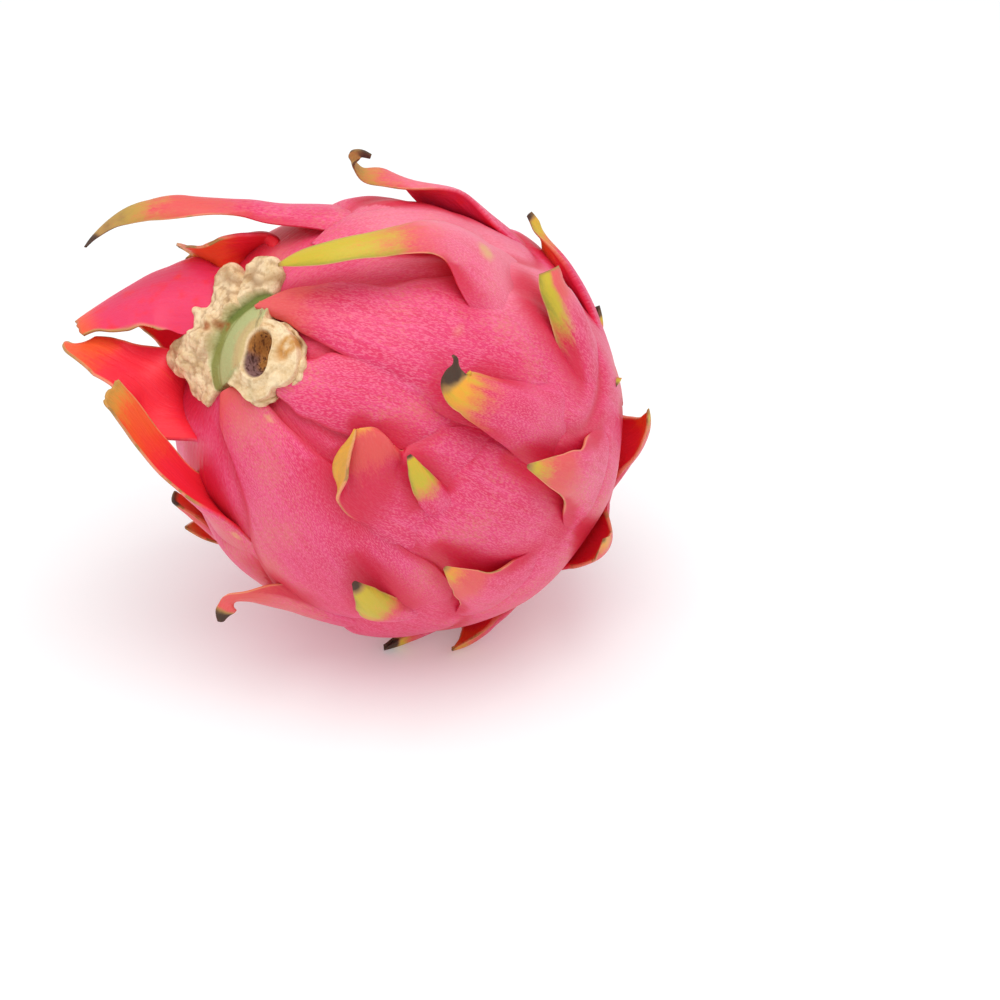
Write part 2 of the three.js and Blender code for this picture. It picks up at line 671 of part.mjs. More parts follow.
// Everything under the surface that the fruit rests on, in the fruit's own frame.
function groundGeometry() {
  const thickness = 40;
  const ground = new THREE.BoxGeometry(300, 300, thickness).translate(0, 0, -thickness / 2);
  return ground.applyMatrix4(lying.matrix.clone().invert());
}

function fruitGeometry() {
  let solid = toSolid(bodyGeometry());
  for (const bract of bracts) solid = solid.add(toSolid(bractGeometry(bract)));
  solid = solid.subtract(scarSolid(SEAT_GAP));
  solid = solid.subtract(toSolid(stalkGeometry(SEAT_GAP)));
  return toGeometry(solid.subtract(toSolid(groundGeometry())));
}

// ================================================================ the object
const skinMaterial = new THREE.MeshStandardMaterial({ color: 0xd9486f, roughness: 0.5, metalness: 0 });
const corkMaterial = new THREE.MeshStandardMaterial({ color: 0xcdb78c, roughness: 0.9, metalness: 0 });
const stalkMaterial = new THREE.MeshStandardMaterial({ color: 0xa9ad6f, roughness: 0.8, metalness: 0 });

function piece(name, geometry, material) {
  const mesh = new THREE.Mesh(geometry, material);
  mesh.name = name;
  return mesh;
}

lying.add(piece('fruit', fruitGeometry(), skinMaterial));
lying.add(piece('flower_scar', toGeometry(scarSolid()), corkMaterial));
lying.add(piece('stem_stub', stalkGeometry(), stalkMaterial));

const dragonFruit = new THREE.Group();
dragonFruit.add(lying);

export default dragonFruit;
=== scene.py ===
# %% [markdown]
# # A dragon fruit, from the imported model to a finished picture
#
# A dragon fruit is a cactus berry: an egg of pink skin that carries leafy bracts, a dry corky scar
# where the flower fell off, and the cut stub of its stalk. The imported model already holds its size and
# place. This lesson builds the fine surfaces around it with numpy and gives them their finish.

import bpy
import numpy as np
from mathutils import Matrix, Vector


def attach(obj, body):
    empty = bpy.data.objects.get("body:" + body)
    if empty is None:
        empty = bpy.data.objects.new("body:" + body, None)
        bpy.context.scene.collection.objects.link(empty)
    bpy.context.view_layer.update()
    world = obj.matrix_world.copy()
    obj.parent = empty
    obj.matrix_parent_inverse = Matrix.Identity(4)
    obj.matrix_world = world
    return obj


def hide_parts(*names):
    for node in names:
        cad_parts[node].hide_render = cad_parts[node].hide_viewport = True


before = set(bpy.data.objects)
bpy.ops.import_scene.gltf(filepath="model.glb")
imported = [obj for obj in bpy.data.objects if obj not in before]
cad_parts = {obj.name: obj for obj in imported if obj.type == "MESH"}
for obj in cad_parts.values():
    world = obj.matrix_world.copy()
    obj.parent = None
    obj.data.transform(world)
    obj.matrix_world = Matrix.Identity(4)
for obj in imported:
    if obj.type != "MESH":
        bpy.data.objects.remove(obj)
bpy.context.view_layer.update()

# %% [markdown]
# The fruit is drawn about its own axis, in millimetres, with +Z towards the flower end, and is then
# laid down. Two turns do that: a lean about Y, then a heading about Z. The origin is the middle of the
# flat spot under the fruit, so the egg's lowest point goes a little under zero and is flattened.

# %% The egg, and how it lies
MM = 0.001  # metres in a millimetre
BODY_RADIUS = 48.0
BODY_HALF_LENGTH = 53.0
LEAN = np.radians(52)
HEADING = np.radians(217)
SPOT_DEPTH = 1.3  # how far the egg is pressed flat where it rests
EGG = np.array([BODY_RADIUS, BODY_RADIUS, BODY_HALF_LENGTH])

tilt = np.array([[np.cos(LEAN), 0, np.sin(LEAN)], [0, 1, 0], [-np.sin(LEAN), 0, np.cos(LEAN)]])
swing = np.array([[np.cos(HEADING), -np.sin(HEADING), 0], [np.sin(HEADING), np.cos(HEADING), 0], [0, 0, 1]])
turn = swing @ tilt
down = -turn[2]
lowest = down * EGG**2 / np.linalg.norm(down * EGG)
middle = -(turn @ lowest) - [0, 0, SPOT_DEPTH]
print("middle of the egg, mm", np.round(middle, 2))


def laid_down(points):
    """Points of the fruit's own frame, turned, moved and pressed flat on the floor: z is at least 0."""
    placed = points @ turn.T + middle
    placed[..., 2] = np.maximum(placed[..., 2], 0.0)
    return placed


# %% [markdown]
# The camera looks down at thirty degrees through a long lens, which keeps the fruit's proportions.
# It aims a little to the lower right of the fruit, so the fruit sits up and left in the picture.

# %% Camera
CAMERA_DISTANCE = 750.0
CAMERA_ELEVATION = np.radians(30)
AIM_RIGHT = 22.5
AIM_UP = -18.45
LENS = 120
SENSOR_WIDTH = 36

towards_camera = np.array([0, -np.cos(CAMERA_ELEVATION), np.sin(CAMERA_ELEVATION)])
camera_up = np.array([0, np.sin(CAMERA_ELEVATION), np.cos(CAMERA_ELEVATION)])
camera_right = np.array([1.0, 0, 0])
eye = middle + CAMERA_DISTANCE * towards_camera + AIM_RIGHT * camera_right + AIM_UP * camera_up

camera = bpy.data.objects.new("camera", bpy.data.cameras.new("camera"))
camera.data.lens = LENS
camera.data.sensor_width = SENSOR_WIDTH
camera.data.clip_start = 0.01
camera.location = eye * MM
camera.rotation_euler = (np.pi / 2 - CAMERA_ELEVATION, 0, 0)
bpy.context.scene.collection.objects.link(camera)
bpy.context.scene.camera = camera
print("camera at", np.round(eye), "mm")

# %% [markdown]
# The light is that of a white tent: a bright surround, and one large soft panel overhead, which
# models the bracts and leaves a soft shadow underneath. The standard view keeps the pinks pure.

# %% Light
KEY_DIRECTION = np.array([0.0, -0.25, 0.95])
KEY_DISTANCE = 0.9  # metres, as the size is
KEY_SIZE = 0.8
KEY_POWER = 4.5
SURROUND = 0.76

scene = bpy.context.scene
scene.view_settings.view_transform = "Standard"
scene.world = bpy.data.worlds.new("white tent")
scene.world.use_nodes = True
background = scene.world.node_tree.nodes["Background"]
background.inputs["Color"].default_value = (1, 1, 1, 1)
background.inputs["Strength"].default_value = SURROUND

lamp = bpy.data.lights.new("key panel", "AREA")
lamp.shape = "SQUARE"
lamp.size = KEY_SIZE
lamp.energy = KEY_POWER
panel = bpy.data.objects.new("key panel", lamp)
offset = Vector(KEY_DIRECTION).normalized() * KEY_DISTANCE
panel.location = offset + Vector(middle * MM)
panel.rotation_euler = offset.to_track_quat("Z", "Y").to_euler()
scene.collection.objects.link(panel)

# %% [markdown]
# Every piece is a grid of points worked out as whole arrays. These helpers turn such arrays into
# meshes: a round skin with two poles, or a blade with two faces closed round its rim. Numbers that
# the finish needs at each point travel along as attributes of the mesh. Sculpting would reach such
# forms too, but a formula can be read, corrected and run again.

# %% Meshes from grids
NO_TRIANGLES = np.zeros((0, 3), int)


def new_piece(name, points, quads, triangles, facts):
    """A mesh of points in millimetres, with a float or vector attribute for each entry of facts."""
    mesh = bpy.data.meshes.new(name)
    sizes = np.concatenate([np.full(len(quads), 4), np.full(len(triangles), 3)])
    mesh.vertices.add(len(points))
    mesh.vertices.foreach_set("co", (points * MM).astype(np.float32).ravel())
    corners = np.concatenate([quads.ravel(), triangles.ravel()]).astype(np.int32)
    mesh.loops.add(len(corners))
    mesh.loops.foreach_set("vertex_index", corners)
    mesh.polygons.add(len(sizes))
    mesh.polygons.foreach_set("loop_start", (np.cumsum(sizes) - sizes).astype(np.int32))
    mesh.update(calc_edges=True)
    mesh.shade_smooth()
    for key, values in facts.items():
        kind, slot = ("FLOAT", "value") if values.ndim == 1 else ("FLOAT_VECTOR", "vector")
        mesh.attributes.new(key, kind, "POINT").data.foreach_set(slot, values.astype(np.float32).ravel())
    piece = bpy.data.objects.new(name, mesh)
    scene.collection.objects.link(piece)
    print(name, len(points), "points,", 2 * len(quads) + len(triangles), "triangles")
    return piece


# %% Faces of grids
def round_faces(rings, meridians):
    """Faces of a skin whose points are a first pole, rings of points, and a last pole."""
    grid = 1 + np.arange(rings * meridians).reshape(rings, meridians)
    after = np.roll(grid, -1, axis=1)
    quads = np.stack([grid[:-1], grid[1:], after[1:], after[:-1]], -1).reshape(-1, 4)
    first = np.zeros(meridians, int)
    last = first + grid.size + 1
    top = np.stack([first, grid[0], after[0]], -1)
    bottom = np.stack([last, after[-1], grid[-1]], -1)
    return quads, np.concatenate([top, bottom])


def sheet_faces(rows, columns):
    """Faces of two grids laid one over the other, closed round the rim. Rows and columns count points."""
    grid = np.arange(rows * columns).reshape(rows, columns)
    upper = np.stack([grid[:-1, :-1], grid[1:, :-1], grid[1:, 1:], grid[:-1, 1:]], -1).reshape(-1, 4)
    lower = upper[:, ::-1] + grid.size
    rim = np.concatenate([grid[0, :-1], grid[:-1, -1], grid[-1, :0:-1], grid[:0:-1, 0]])
    after = np.roll(rim, -1)
    wall = np.stack([rim, after, after + grid.size, rim + grid.size], -1)
    return np.concatenate([upper, lower, wall])


# %% [markdown]
# Nothing on a fruit is quite even. A smooth random field, the same on every run, bends margins, dents
# the skin and roughens the cork. It hashes the whole-numbered corners round each point.
#
# Three calls carry most of the formulas below. noise() takes the size of its lumps and a seed, and
# rough() adds up layers of it. smooth() takes the two values between which something sets in.

# %% Smooth random fields
HASH_DIRECTION = np.array([12.9898, 78.233, 37.719])
HASH_STEP = 4.1
HASH_SCALE = 43758.5453


def corner_values(corners, seed):
    """A repeatable number from -1 to 1 for each corner: the fraction of a large multiple of a sine."""
    wave = np.sin(corners @ HASH_DIRECTION + HASH_STEP * seed) * HASH_SCALE
    return 2 * (wave - np.floor(wave)) - 1


def noise(points, size, seed=0):
    """Random values from -1 to 1, smooth over the given size: corner values blended by 3f^2 - 2f^3."""
    scaled = points / size
    cell = np.floor(scaled)
    f = scaled - cell
    f = f * f * (3 - 2 * f)
    total = 0
    for corner in np.ndindex(2, 2, 2):
        share = np.prod(np.where(corner, f, 1 - f), axis=-1)
        total = total + share * corner_values(cell + corner, seed)
    return total


def rough(points, layers):
    """The sum of layers of noise, each given by its height, size and seed."""
    return sum(height * noise(points, size, seed) for height, size, seed in layers)


def smooth(low, high, x):
    """0 below low, 1 above high, and 3t^2 - 2t^3 between them. Low may be above high."""
    t = np.clip((x - low) / (high - low), 0, 1)
    return t * t * (3 - 2 * t)


def unit(vectors):
    """Vectors divided by their length."""
    return vectors / np.maximum(np.linalg.norm(vectors, axis=-1, keepdims=True), 1e-9)


# %% [markdown]
# A place on the fruit is given by its azimuth round the axis, its polar angle from the flower end, and
# its height over the egg. A bract's midrib is a smooth curve through a few such places.

# %% Places on the egg
def egg_normal(points):
    """Outward direction of the egg through each point: the point divided by the squared half axes."""
    return unit(points / EGG**2)


def egg_point(azimuth, polar, height=0.0):
    """The point at an azimuth and polar angle in degrees, raised by a height along the egg's normal."""
    a, t = np.radians(azimuth), np.radians(polar)
    foot = EGG * np.stack([np.sin(t) * np.cos(a), np.sin(t) * np.sin(a), np.cos(t) + 0 * a], -1)
    return foot + egg_normal(foot) * np.asarray(height)[..., None]


def onto_egg(points):
    """Points pulled to the egg along the line from its middle."""
    return points / np.linalg.norm(points / EGG, axis=-1, keepdims=True)


def between_two(a, b, c, d, f):
    """The uniform Catmull-Rom curve from b to c, with a before them and d after, at a share f."""
    return 0.5 * (2 * b + (c - a) * f + (2 * a - 5 * b + 4 * c - d) * f**2 + (3 * b - a - 3 * c + d) * f**3)


def through(values, u):
    """A smooth curve through the values, for u from 0 to 1."""
    v = np.asarray(values, float)
    if len(v) == 1:
        return v[0] + 0 * u
    v = np.concatenate([[2 * v[0] - v[1]], v, [2 * v[-1] - v[-2]]])
    x = np.clip(u, 0, 1) * (len(v) - 3)
    k = np.minimum(x.astype(int), len(v) - 4)
    return between_two(v[k], v[k + 1], v[k + 2], v[k + 3], x - k)


def columns_through(table, u):
    """Each column of a table as a smooth curve, such as azimuth, polar angle, height and half width."""
    return [through(column, u) for column in np.transpose(table)]


# %% [markdown]
# The bracts are fleshy leaves that curl away from the skin. Each could be bent by hand from a plane.
# As rows of numbers, forty of them are easier to place, compare and correct.
#
# Each bract is listed by the stations of its midrib: azimuth, polar angle, height and half width.
# Its form has these options, with angles in degrees at even steps from root to tip:
#
# - `cup` bends the margins towards the fruit, `twist` turns the blade about its own length, and `roll`
#   bends the outer part of the left and of the right margin further;
# - `pressed` lays it flat on the skin, `swell` raises the skin at its root, `ragged` frays its end and
#   `small` gives it a coarser grid.
#
# Its colours have these:
#
# - `ripen` says at what share of the length it turns orange, green and brown, and `lining` says the
#   same for the inner face. `recurved` means that the inner face is the one that looks outwards;
# - `hue` goes from gold at 0 to olive at 1, and `stripe` keeps the green between two values of v;
# - `scorched` browns the rim, `faded` dries the green to tan, `rosy` turns the deep red of the inner
#   face to magenta, and `painted_low_shade` paints shade on the lower part in crimson.

# %% The bracts round the flower scar
NEVER = 2.0  # a share past the end of every bract
CROWN = {
    "crown top": dict(
        path=[[190, 62, -1.5, 12], [196, 51, 0.5, 10.5], [206, 38, 6, 7.5], [216, 32, 11.8, 5.6],
              [228, 27, 19.3, 5], [242, 26, 24.7, 4], [254, 26, 27.9, 2.8], [263, 24.5, 29.8, 1.4],
              [268, 22, 31, 0.4]],
        cup=[40, 50], twist=[0, -20], swell=2.2, ripen=[0.24, 0.52, 0.8], hue=0.85, faded=0.95, rosy=0.5,
        painted_low_shade=0.6, scorched=0.8),
    "crown small": dict(
        path=[[216, 41, -2, 10], [225, 38, 1.5, 9], [231, 33, 3.5, 8.2], [239, 30, 5, 6.4],
              [246, 31.5, 7.5, 4.4], [251, 35, 9.8, 2.8], [255, 39.5, 11.9, 0.6]],
        cup=[40, 20], twist=[0, 25, 55, 75, 80, 80], swell=1.0, ripen=[0.3, 0.7, 0.88], hue=0.3),
    "crown back": dict(
        path=[[236, 21, 0.5, 11], [252, 22, 5.5, 13.5], [268, 26, 12, 12.2], [282, 30, 18.5, 9.6],
              [293, 33, 24.8, 6.4]],
        cup=[40, 35], swell=1.0, ripen=[0.75, NEVER, 0.93], ragged=0.02, recurved=True, rosy=0.9,
        scorched=0.7),
    "crown left": dict(
        path=[[337, 40, -1.5, 12], [328, 31, 2, 12.5], [319, 26, 9, 10.5], [309, 27, 17, 7],
              [302.5, 30, 22.6, 4.4], [300, 33, 23.6, 1.6]],
        cup=[30, 20], twist=[0, -40, -75, -100, -110, -95], swell=1.0, ripen=[0.5, 0.8, 0.95], hue=0.9,
        faded=0.8, scorched=0.5),
    "left long": dict(
        path=[[4, 74, -1, 12], [2, 61, 0.3, 13], [0, 48, 2.5, 8.5], [-3.5, 38, 6.4, 5.2],
              [-8, 28.5, 13, 4.6], [-12, 21.5, 19.4, 4.2], [-15.5, 18.3, 24.4, 4]],
        twist=[-10, -35, -60, -60], swell=1.5, ripen=[0.5, 0.76, 0.96], hue=0.3, faded=0.85, ragged=0.02,
        scorched=0.4),
    "left low": dict(
        path=[[-19, 92, -1, 9], [-21, 84, 0.5, 8], [-24, 75, 2, 6.5], [-27, 67, 3.8, 4.5],
              [-29, 62, 5.5, 3]],
        swell=1.5, ripen=[0.5, NEVER, 0.9]),
}

# %% The bracts of the near side
FRONT = {
    "front lobe": dict(
        path=[[34, 94, -1, 16], [37, 82, 0.5, 20], [40, 66, 1, 19.5], [43, 51, 1.4, 16],
              [44.5, 38, 1.7, 12.5], [41, 27, 2, 9], [33, 18, 2.3, 6.5], [24, 13.2, 2.4, 2.5]],
        pressed=True, ripen=[0.68, NEVER, NEVER]),
    "under curl": dict(
        path=[[26, 104, -1.5, 14], [21, 95, 0.3, 13], [18, 86, 1.2, 10], [16, 76, 2.7, 7.5],
              [14, 69, 5.2, 5], [13, 65, 8.4, 3], [12, 64, 10.6, 2.6], [11, 65, 12.7, 2.2],
              [10, 66.6, 14.2, 1]],
        twist=[0, 20, 30, 25, -20, -60], swell=1.5, ripen=[0.35, NEVER, 0.8]),
    "front fold": dict(
        path=[[78, 82, -1, 21], [77.5, 71, 0, 20], [76, 60, 2, 14.5], [75.5, 53, 4, 10.5],
              [78.5, 48.2, 5.4, 11], [83.5, 44.4, 6.4, 7], [86, 41.8, 7, 0.6]],
        cup=[50, 45, 40, 30], roll=([0, 0, 0, 30, 70, 75, 0], [0, 0, 0, -40, -160, -170, -170]),
        swell=1.0, ripen=[0.5, 0.84, NEVER], hue=0.1, faded=0.5, painted_low_shade=1.0, lining=[0.2, 0.3, NEVER]),
    "front tip": dict(
        path=[[76, 74, -1, 5], [78, 69, 1.5, 4.6], [80.5, 64, 4.4, 3.8], [83.5, 59, 6.8, 2.8],
              [86, 55.5, 8, 1.6], [87.5, 53.5, 8.4, 0.6]],
        cup=[50, 60, 60], twist=[0, 10, 15], small=True, ripen=[0.25, 0.34, 0.86], hue=0.7, scorched=0.9),
    "low tip": dict(
        path=[[38, 95, -1, 7], [41, 87, 2, 6.2], [44.5, 79, 4.8, 5], [48, 72, 6.8, 3.6],
              [51, 64.5, 8.5, 0.6]],
        cup=[50, 60, 60], twist=[0, 20, 30, 30], small=True, ripen=[0.2, 0.34, 0.84], hue=0.75,
        scorched=0.6),
    "right hook": dict(
        path=[[111, 100, -1, 13], [110, 90, 1, 12.5], [109.5, 80, 3.6, 10], [109, 71.5, 6, 8],
              [108.5, 64.5, 7.8, 6.4], [108.4, 60.5, 8.9, 5.7], [108.4, 58.2, 9.4, 5],
              [109.6, 56.4, 9.8, 4], [111.4, 55.4, 10.3, 2.6], [113.2, 55, 10.9, 1],
              [114.6, 54.6, 11.4, 0.7], [115.2, 53.8, 11.7, 0.4]],
        cup=[50, 60, 65, 70], swell=1.5, ripen=[0.22, 0.31, 0.56], hue=0.35),
    "upper lobe": dict(
        path=[[125, 90, -1, 12], [124.5, 78, 0.5, 16], [124, 64, 1.2, 17], [125, 50, 1.6, 14.5],
              [128, 37, 2, 10.5], [137, 25, 2.4, 7.5], [147, 18, 2.8, 5], [156, 13, 3.1, 3],
              [167, 9.4, 3.2, 0.6]],
        pressed=True, ripen=[0.5, NEVER, NEVER]),
    "middle lobe": dict(
        path=[[99, 62, -1, 7], [99, 54, 0.5, 9], [98, 44, 1, 10], [94, 34, 1.2, 9], [88, 25, 1.6, 6.5],
              [82, 19, 2, 4]],
        pressed=True, ripen=[NEVER, NEVER, NEVER]),
}

# %% The bracts of the top and the right
TOP = {
    "upper long": dict(
        path=[[142, 84, -1, 15], [147, 74, 1.2, 15], [150, 66, 4.5, 13], [152.5, 58, 8, 9.5],
              [152.5, 51.5, 10.6, 6.2], [151, 44.5, 11.8, 4.6], [150, 37.5, 12.2, 4],
              [152, 30, 11.8, 3.4], [157.5, 24, 10.5, 2.4], [164, 19.5, 9, 0.6]],
        swell=2.0, ripen=[0.3, 0.46, 0.93], hue=0.75),
    "top curl": dict(
        path=[[180, 108, -1, 13], [184, 98, 0.4, 12.5], [186, 88, 1.6, 10.5], [188, 78.5, 3.1, 8],
              [189, 69, 4.8, 5.5], [190.5, 58.5, 6.9, 3], [191, 52.8, 8, 1.8], [191, 50.4, 10.6, 1.1],
              [190.5, 49.8, 13, 1.3], [188.5, 50, 14.2, 1.2], [186.5, 51.5, 13.4, 0.6]],
        cup=[40, 20, 10], twist=[0, 5, 22, 42, 20, -35, -55, -60, -60, -60, -60], swell=2.0,
        ripen=[0.3, 0.44, 0.8], hue=0.4, faded=0.95, rosy=0.8, scorched=0.9),
    "top lobe": dict(
        path=[[172, 80, -1, 12], [174, 66, 0.8, 14], [176, 53, 1.2, 12], [179, 42, 1.5, 8],
              [184, 31, 1.5, 0.8]],
        pressed=True, ripen=[NEVER, NEVER, NEVER]),
    "right top": dict(
        path=[[158, 130, -1, 13], [164, 120, 1, 12], [167, 110, 2, 9], [170.5, 103, 2.9, 6],
              [175, 97, 4.6, 2.6], [177, 94.5, 5.5, 1.5], [178.5, 92.5, 6.4, 0.9]],
        cup=[40, 20], twist=[0, 25, 45, 40, -10, -50, -60], swell=1.5, ripen=[0.4, 0.52, 0.84], hue=0.6,
        faded=0.4, rosy=0.6),
    "right flap": dict(
        path=[[132, 112, -1, 12], [134, 103, 0.8, 12], [136, 94, 3.2, 9], [139.5, 85, 5.8, 6],
              [142.5, 80, 7.8, 4.6], [145.5, 78, 9.2, 3.4]],
        cup=[50, 60], twist=[0, -20, -25], swell=1.5, ripen=[0.5, 0.42, 0.93], hue=0.9, stripe=(-0.1, 0.5)),
    "right dot": dict(
        path=[[163, 134, -1, 6], [166, 129, 1.5, 4], [168, 125, 3.5, 2.2], [170, 122, 4.5, 0.6]],
        small=True, ripen=[0.3, 0.5, 0.7]),
    "right low": dict(
        path=[[150, 134, -1, 9], [146, 128, 0.5, 8], [141, 121, 0.6, 6], [136, 115, 0.6, 3.4],
              [132, 111, 0.2, 1.6]],
        twist=[0, 40, 50], small=True, ripen=[0.4, 0.7, 0.9]),
    "floor tip": dict(
        path=[[26, 122, -1, 6], [23, 116, 1, 5], [20, 111, 3, 3.5], [18, 107, 4.4, 0.6]],
        small=True, ripen=[0.3, 0.5, 0.7]),
}

# %% [markdown]
# The far side, the belly and the stalk end carry plainer bracts, so a rule draws them: each starts as
# a broad lobe low on the skin, narrows quickly, and runs out in a long tip that stands off the fruit.

# %% The plainer bracts
SPROUTS = [  # azimuth and polar angle of the root, reach in degrees, rise, half width, sideways turn
    [222, 108, 40, 4, 14, 10], [248, 84, 42, 9, 14, 10], [276, 70, 36, 13, 13, 8], [304, 74, 34, 10, 13, -6],
    [326, 106, 34, 7, 13, 6], [290, 104, 44, 11, 14, 5], [260, 118, 42, 9, 14, -5], [232, 132, 40, 8, 14, 6],
    [200, 142, 30, 5, 13, -4], [278, 142, 36, 9, 13, 6], [310, 143, 30, 6, 12, -4],
    [103, 122, 44, 8, 15, -5], [64, 114, 38, 7, 14, 4], [36, 140, 24, 5, 12, -3], [84, 150, 36, 7, 13, 6],
    [124, 154, 34, 7, 13, 4], [168, 162, 26, 4, 10, 8], [240, 162, 32, 7, 11, 4],
]
LOBE_WIDTH = [0.95, 1.0, 0.84, 0.6, 0.38, 0.24, 0.04]  # share of the half width, from root to tip
LOBE_HEIGHT = [-0.1, 0.12, 0.34, 0.6, 0.82, 0.96, 1.0]  # share of the rise


def sprout(azimuth, polar, reach, rise, half_width, sideways):
    """Seven stations whose width and height are shares of the bract's own, turning by u^2."""
    u = np.linspace(0, 1, len(LOBE_WIDTH))
    height = rise * np.array(LOBE_HEIGHT)
    width = half_width * np.array(LOBE_WIDTH)
    path = np.stack([azimuth + sideways * u**2, polar - reach * u, height, width], -1)
    return dict(path=path, swell=1.5, ripen=[0.5, 0.78, 0.92], hue=0.3 + 0.5 * (azimuth % 7) / 7)


BACK = {f"sprout {k + 1}": sprout(*row) for k, row in enumerate(SPROUTS)}
EVERY_BRACT = {**CROWN, **FRONT, **TOP, **BACK}
print(len(EVERY_BRACT), "bracts")

# %% [markdown]
# A bract is an arc carried along its midrib. The frame of each station points outwards and sideways,
# and is turned by the bract's twist. Angles that grow from the midrib to the margins bend the arc. A
# bevelled curve also carries an arc along a path, but the arc keeps its shape all the way.

# %% The midrib's frame
SMALL_STEP = 0.01  # along the midrib, to find its direction


def midrib_frame(bract, u):
    """The midrib's points, with the directions across the blade and out of its face."""

    def midrib(x, raised=0):
        azimuth, polar, height, _ = columns_through(bract["path"], x)
        return egg_point(azimuth, polar, height + raised)

    centre = midrib(u)
    ahead = unit(midrib(np.minimum(u + SMALL_STEP, 1)) - midrib(np.maximum(u - SMALL_STEP, 0)))
    up = unit(midrib(u, 1) - centre)
    side = unit(np.cross(up, ahead))
    turned_over = np.sum(side[1:] * side[:-1], axis=-1, keepdims=True) < 0
    side[1:] = side[1:] * np.cumprod(np.where(turned_over, -1, 1), axis=0)
    over = np.cross(ahead, side)
    angle = np.radians(through(bract.get("twist", [0]), u))[..., None]
    return centre, side * np.cos(angle) + over * np.sin(angle), over * np.cos(angle) - side * np.sin(angle)


# %% The blade that stands free
WAVE_HEIGHT = 0.5  # of the margins, out of the blade's face
ROLL_START = 0.55  # share of the half width where a rolled margin starts to turn
ROLL_END = 0.7


def across_integral(values, v):
    """The integral of the values over v, from the midrib at v = 0, by trapezoids along each row."""
    steps = 0.5 * (values[:, 1:] + values[:, :-1]) * np.diff(v, axis=1)
    total = np.concatenate([np.zeros((len(v), 1)), np.cumsum(steps, axis=1)], axis=1)
    return total - total[:, [v.shape[1] // 2]]


def free_blade(bract, seed, centre, side, over, width, u, v):
    """Points of the free blade.

    At a share u of the length and v from -1 to 1 across, the surface turns by an angle: the cup times
    v, plus the roll of that margin. The point is the midrib's, plus the half width times the integral
    of the angle's cosine sideways, and minus that of its sine outwards.
    """
    bend = np.radians(through(bract.get("cup", [50, 40]), u)) * v
    for sign, roll in zip((-1, 1), bract.get("roll", ([0], [0]))):
        bend = bend + sign * np.radians(through(roll, u)) * smooth(ROLL_START, ROLL_END, sign * v)
    x = width * across_integral(np.cos(bend), v)
    y = -width * across_integral(np.sin(bend), v)
    margins = np.stack([6 * u, np.sign(v), seed + 0 * u], -1)
    wave = WAVE_HEIGHT * noise(margins, 0.9, seed + 7) * v**2 * smooth(0.2, 0.5, u)
    y = y + wave * np.minimum(width / 4, 1)
    return centre + side * x[..., None] + over * y[..., None]


# %% [markdown]
# Low down a bract hugs the skin and its margins sink in, so it seems to grow out of the fruit. Higher
# up it stands free. The inner face is the outer one moved inwards by a thickness, which thins towards
# the margins and the tip.

# %% The whole bract
LEAST_HALF_WIDTH = 0.35
WIDTH_WANDER = 0.07  # share by which the margins wander
BASE_THICKNESS = 3.2
EDGE_THICKNESS = 0.55
SUNK_MARGIN = -0.8
FREE_MARGIN = 0.5
PRESSED_MARGIN = 0.7
ROOT_DEPTH = 1.6
LIFT_OFF = 3.0  # the height at which a bract is half free
LIFT_SOFTNESS = 0.8
GRAIN_SHIFT = 37.0  # from bract to bract, so that no two have the same streaks


def grid_normals(points):
    """Outward directions of a blade's grid: the cross product of its steps along rows and columns."""
    along = np.gradient(points, axis=0)
    across = np.gradient(points, axis=1)
    return unit(np.cross(along, across))


def blade(bract, seed, rows, columns):
    """Outer and inner grids of one bract and what its finish needs, as arrays of rows by columns.

    The lying blade is the free one dropped on the egg and raised to a height that falls with |v|^3, or
    with v^4 where it is pressed. The share that lies is 1 / (1 + exp((height - LIFT_OFF) / softness)).
    """
    u = np.linspace(0, 1, rows)[:, None] + np.zeros(columns)
    v = np.sin(np.linspace(-1, 1, columns) * np.pi / 2) + np.zeros((rows, 1))
    spread = np.stack([3 * v, 5 * u, seed + 0 * u], -1)
    u = u * (1 - bract.get("ragged", 0.0) * (1 + noise(spread, 0.6, seed)))
    _, _, height, width = columns_through(bract["path"], u)
    wander = noise(spread * [0, 1, 1] + np.sign(v)[..., None], 0.5, seed + 3)
    width = np.maximum(width, LEAST_HALF_WIDTH) * (1 + WIDTH_WANDER * wander)
    centre, side, over = midrib_frame(bract, u)
    free = free_blade(bract, seed, centre, side, over, width, u, v)

    foot = onto_egg(free)
    pressed = bract.get("pressed", False)
    fall = v**4 if pressed else np.abs(v) ** 3
    margin = PRESSED_MARGIN if pressed else SUNK_MARGIN + (FREE_MARGIN - SUNK_MARGIN) * smooth(0.12, 0.45, u)
    lying_height = height - (height - np.minimum(height, margin)) * fall
    on_skin = foot + egg_normal(foot) * lying_height[..., None]
    lying = 1 / (1 + np.exp((height - LIFT_OFF) / LIFT_SOFTNESS))
    outer = free + (on_skin - free) * lying[..., None]

    plump = BASE_THICKNESS + (EDGE_THICKNESS - BASE_THICKNESS) * np.sqrt(np.clip(u, 0, 1))
    thickness = plump + (EDGE_THICKNESS - plump) * v**2
    thickness = thickness * (1 - lying) + (lying_height + ROOT_DEPTH) * lying
    inner = outer - grid_normals(outer) * np.maximum(thickness, EDGE_THICKNESS)[..., None]

    length = np.linalg.norm(np.diff(centre[:, columns // 2], axis=0), axis=-1)
    travelled = np.concatenate([[0], np.cumsum(length)])[:, None] + 0 * v
    growth = np.stack([width * v, 0 * v + GRAIN_SHIFT * seed, travelled], -1)
    return outer, inner, u, v, growth, 1 - lying


# %% [markdown]
# The finish is steered by numbers at each point of a bract. "growth" is a place that follows its
# length and width, so that streaks run along it.

# %% What the finish needs on a bract
EVERYWHERE = (-2, -1)
TURNING = 0.3  # share of the length over which a bract turns orange or green
DRYING = 0.12
FADED_DRYNESS = 0.6
PRESSED_SHADE = 0.8


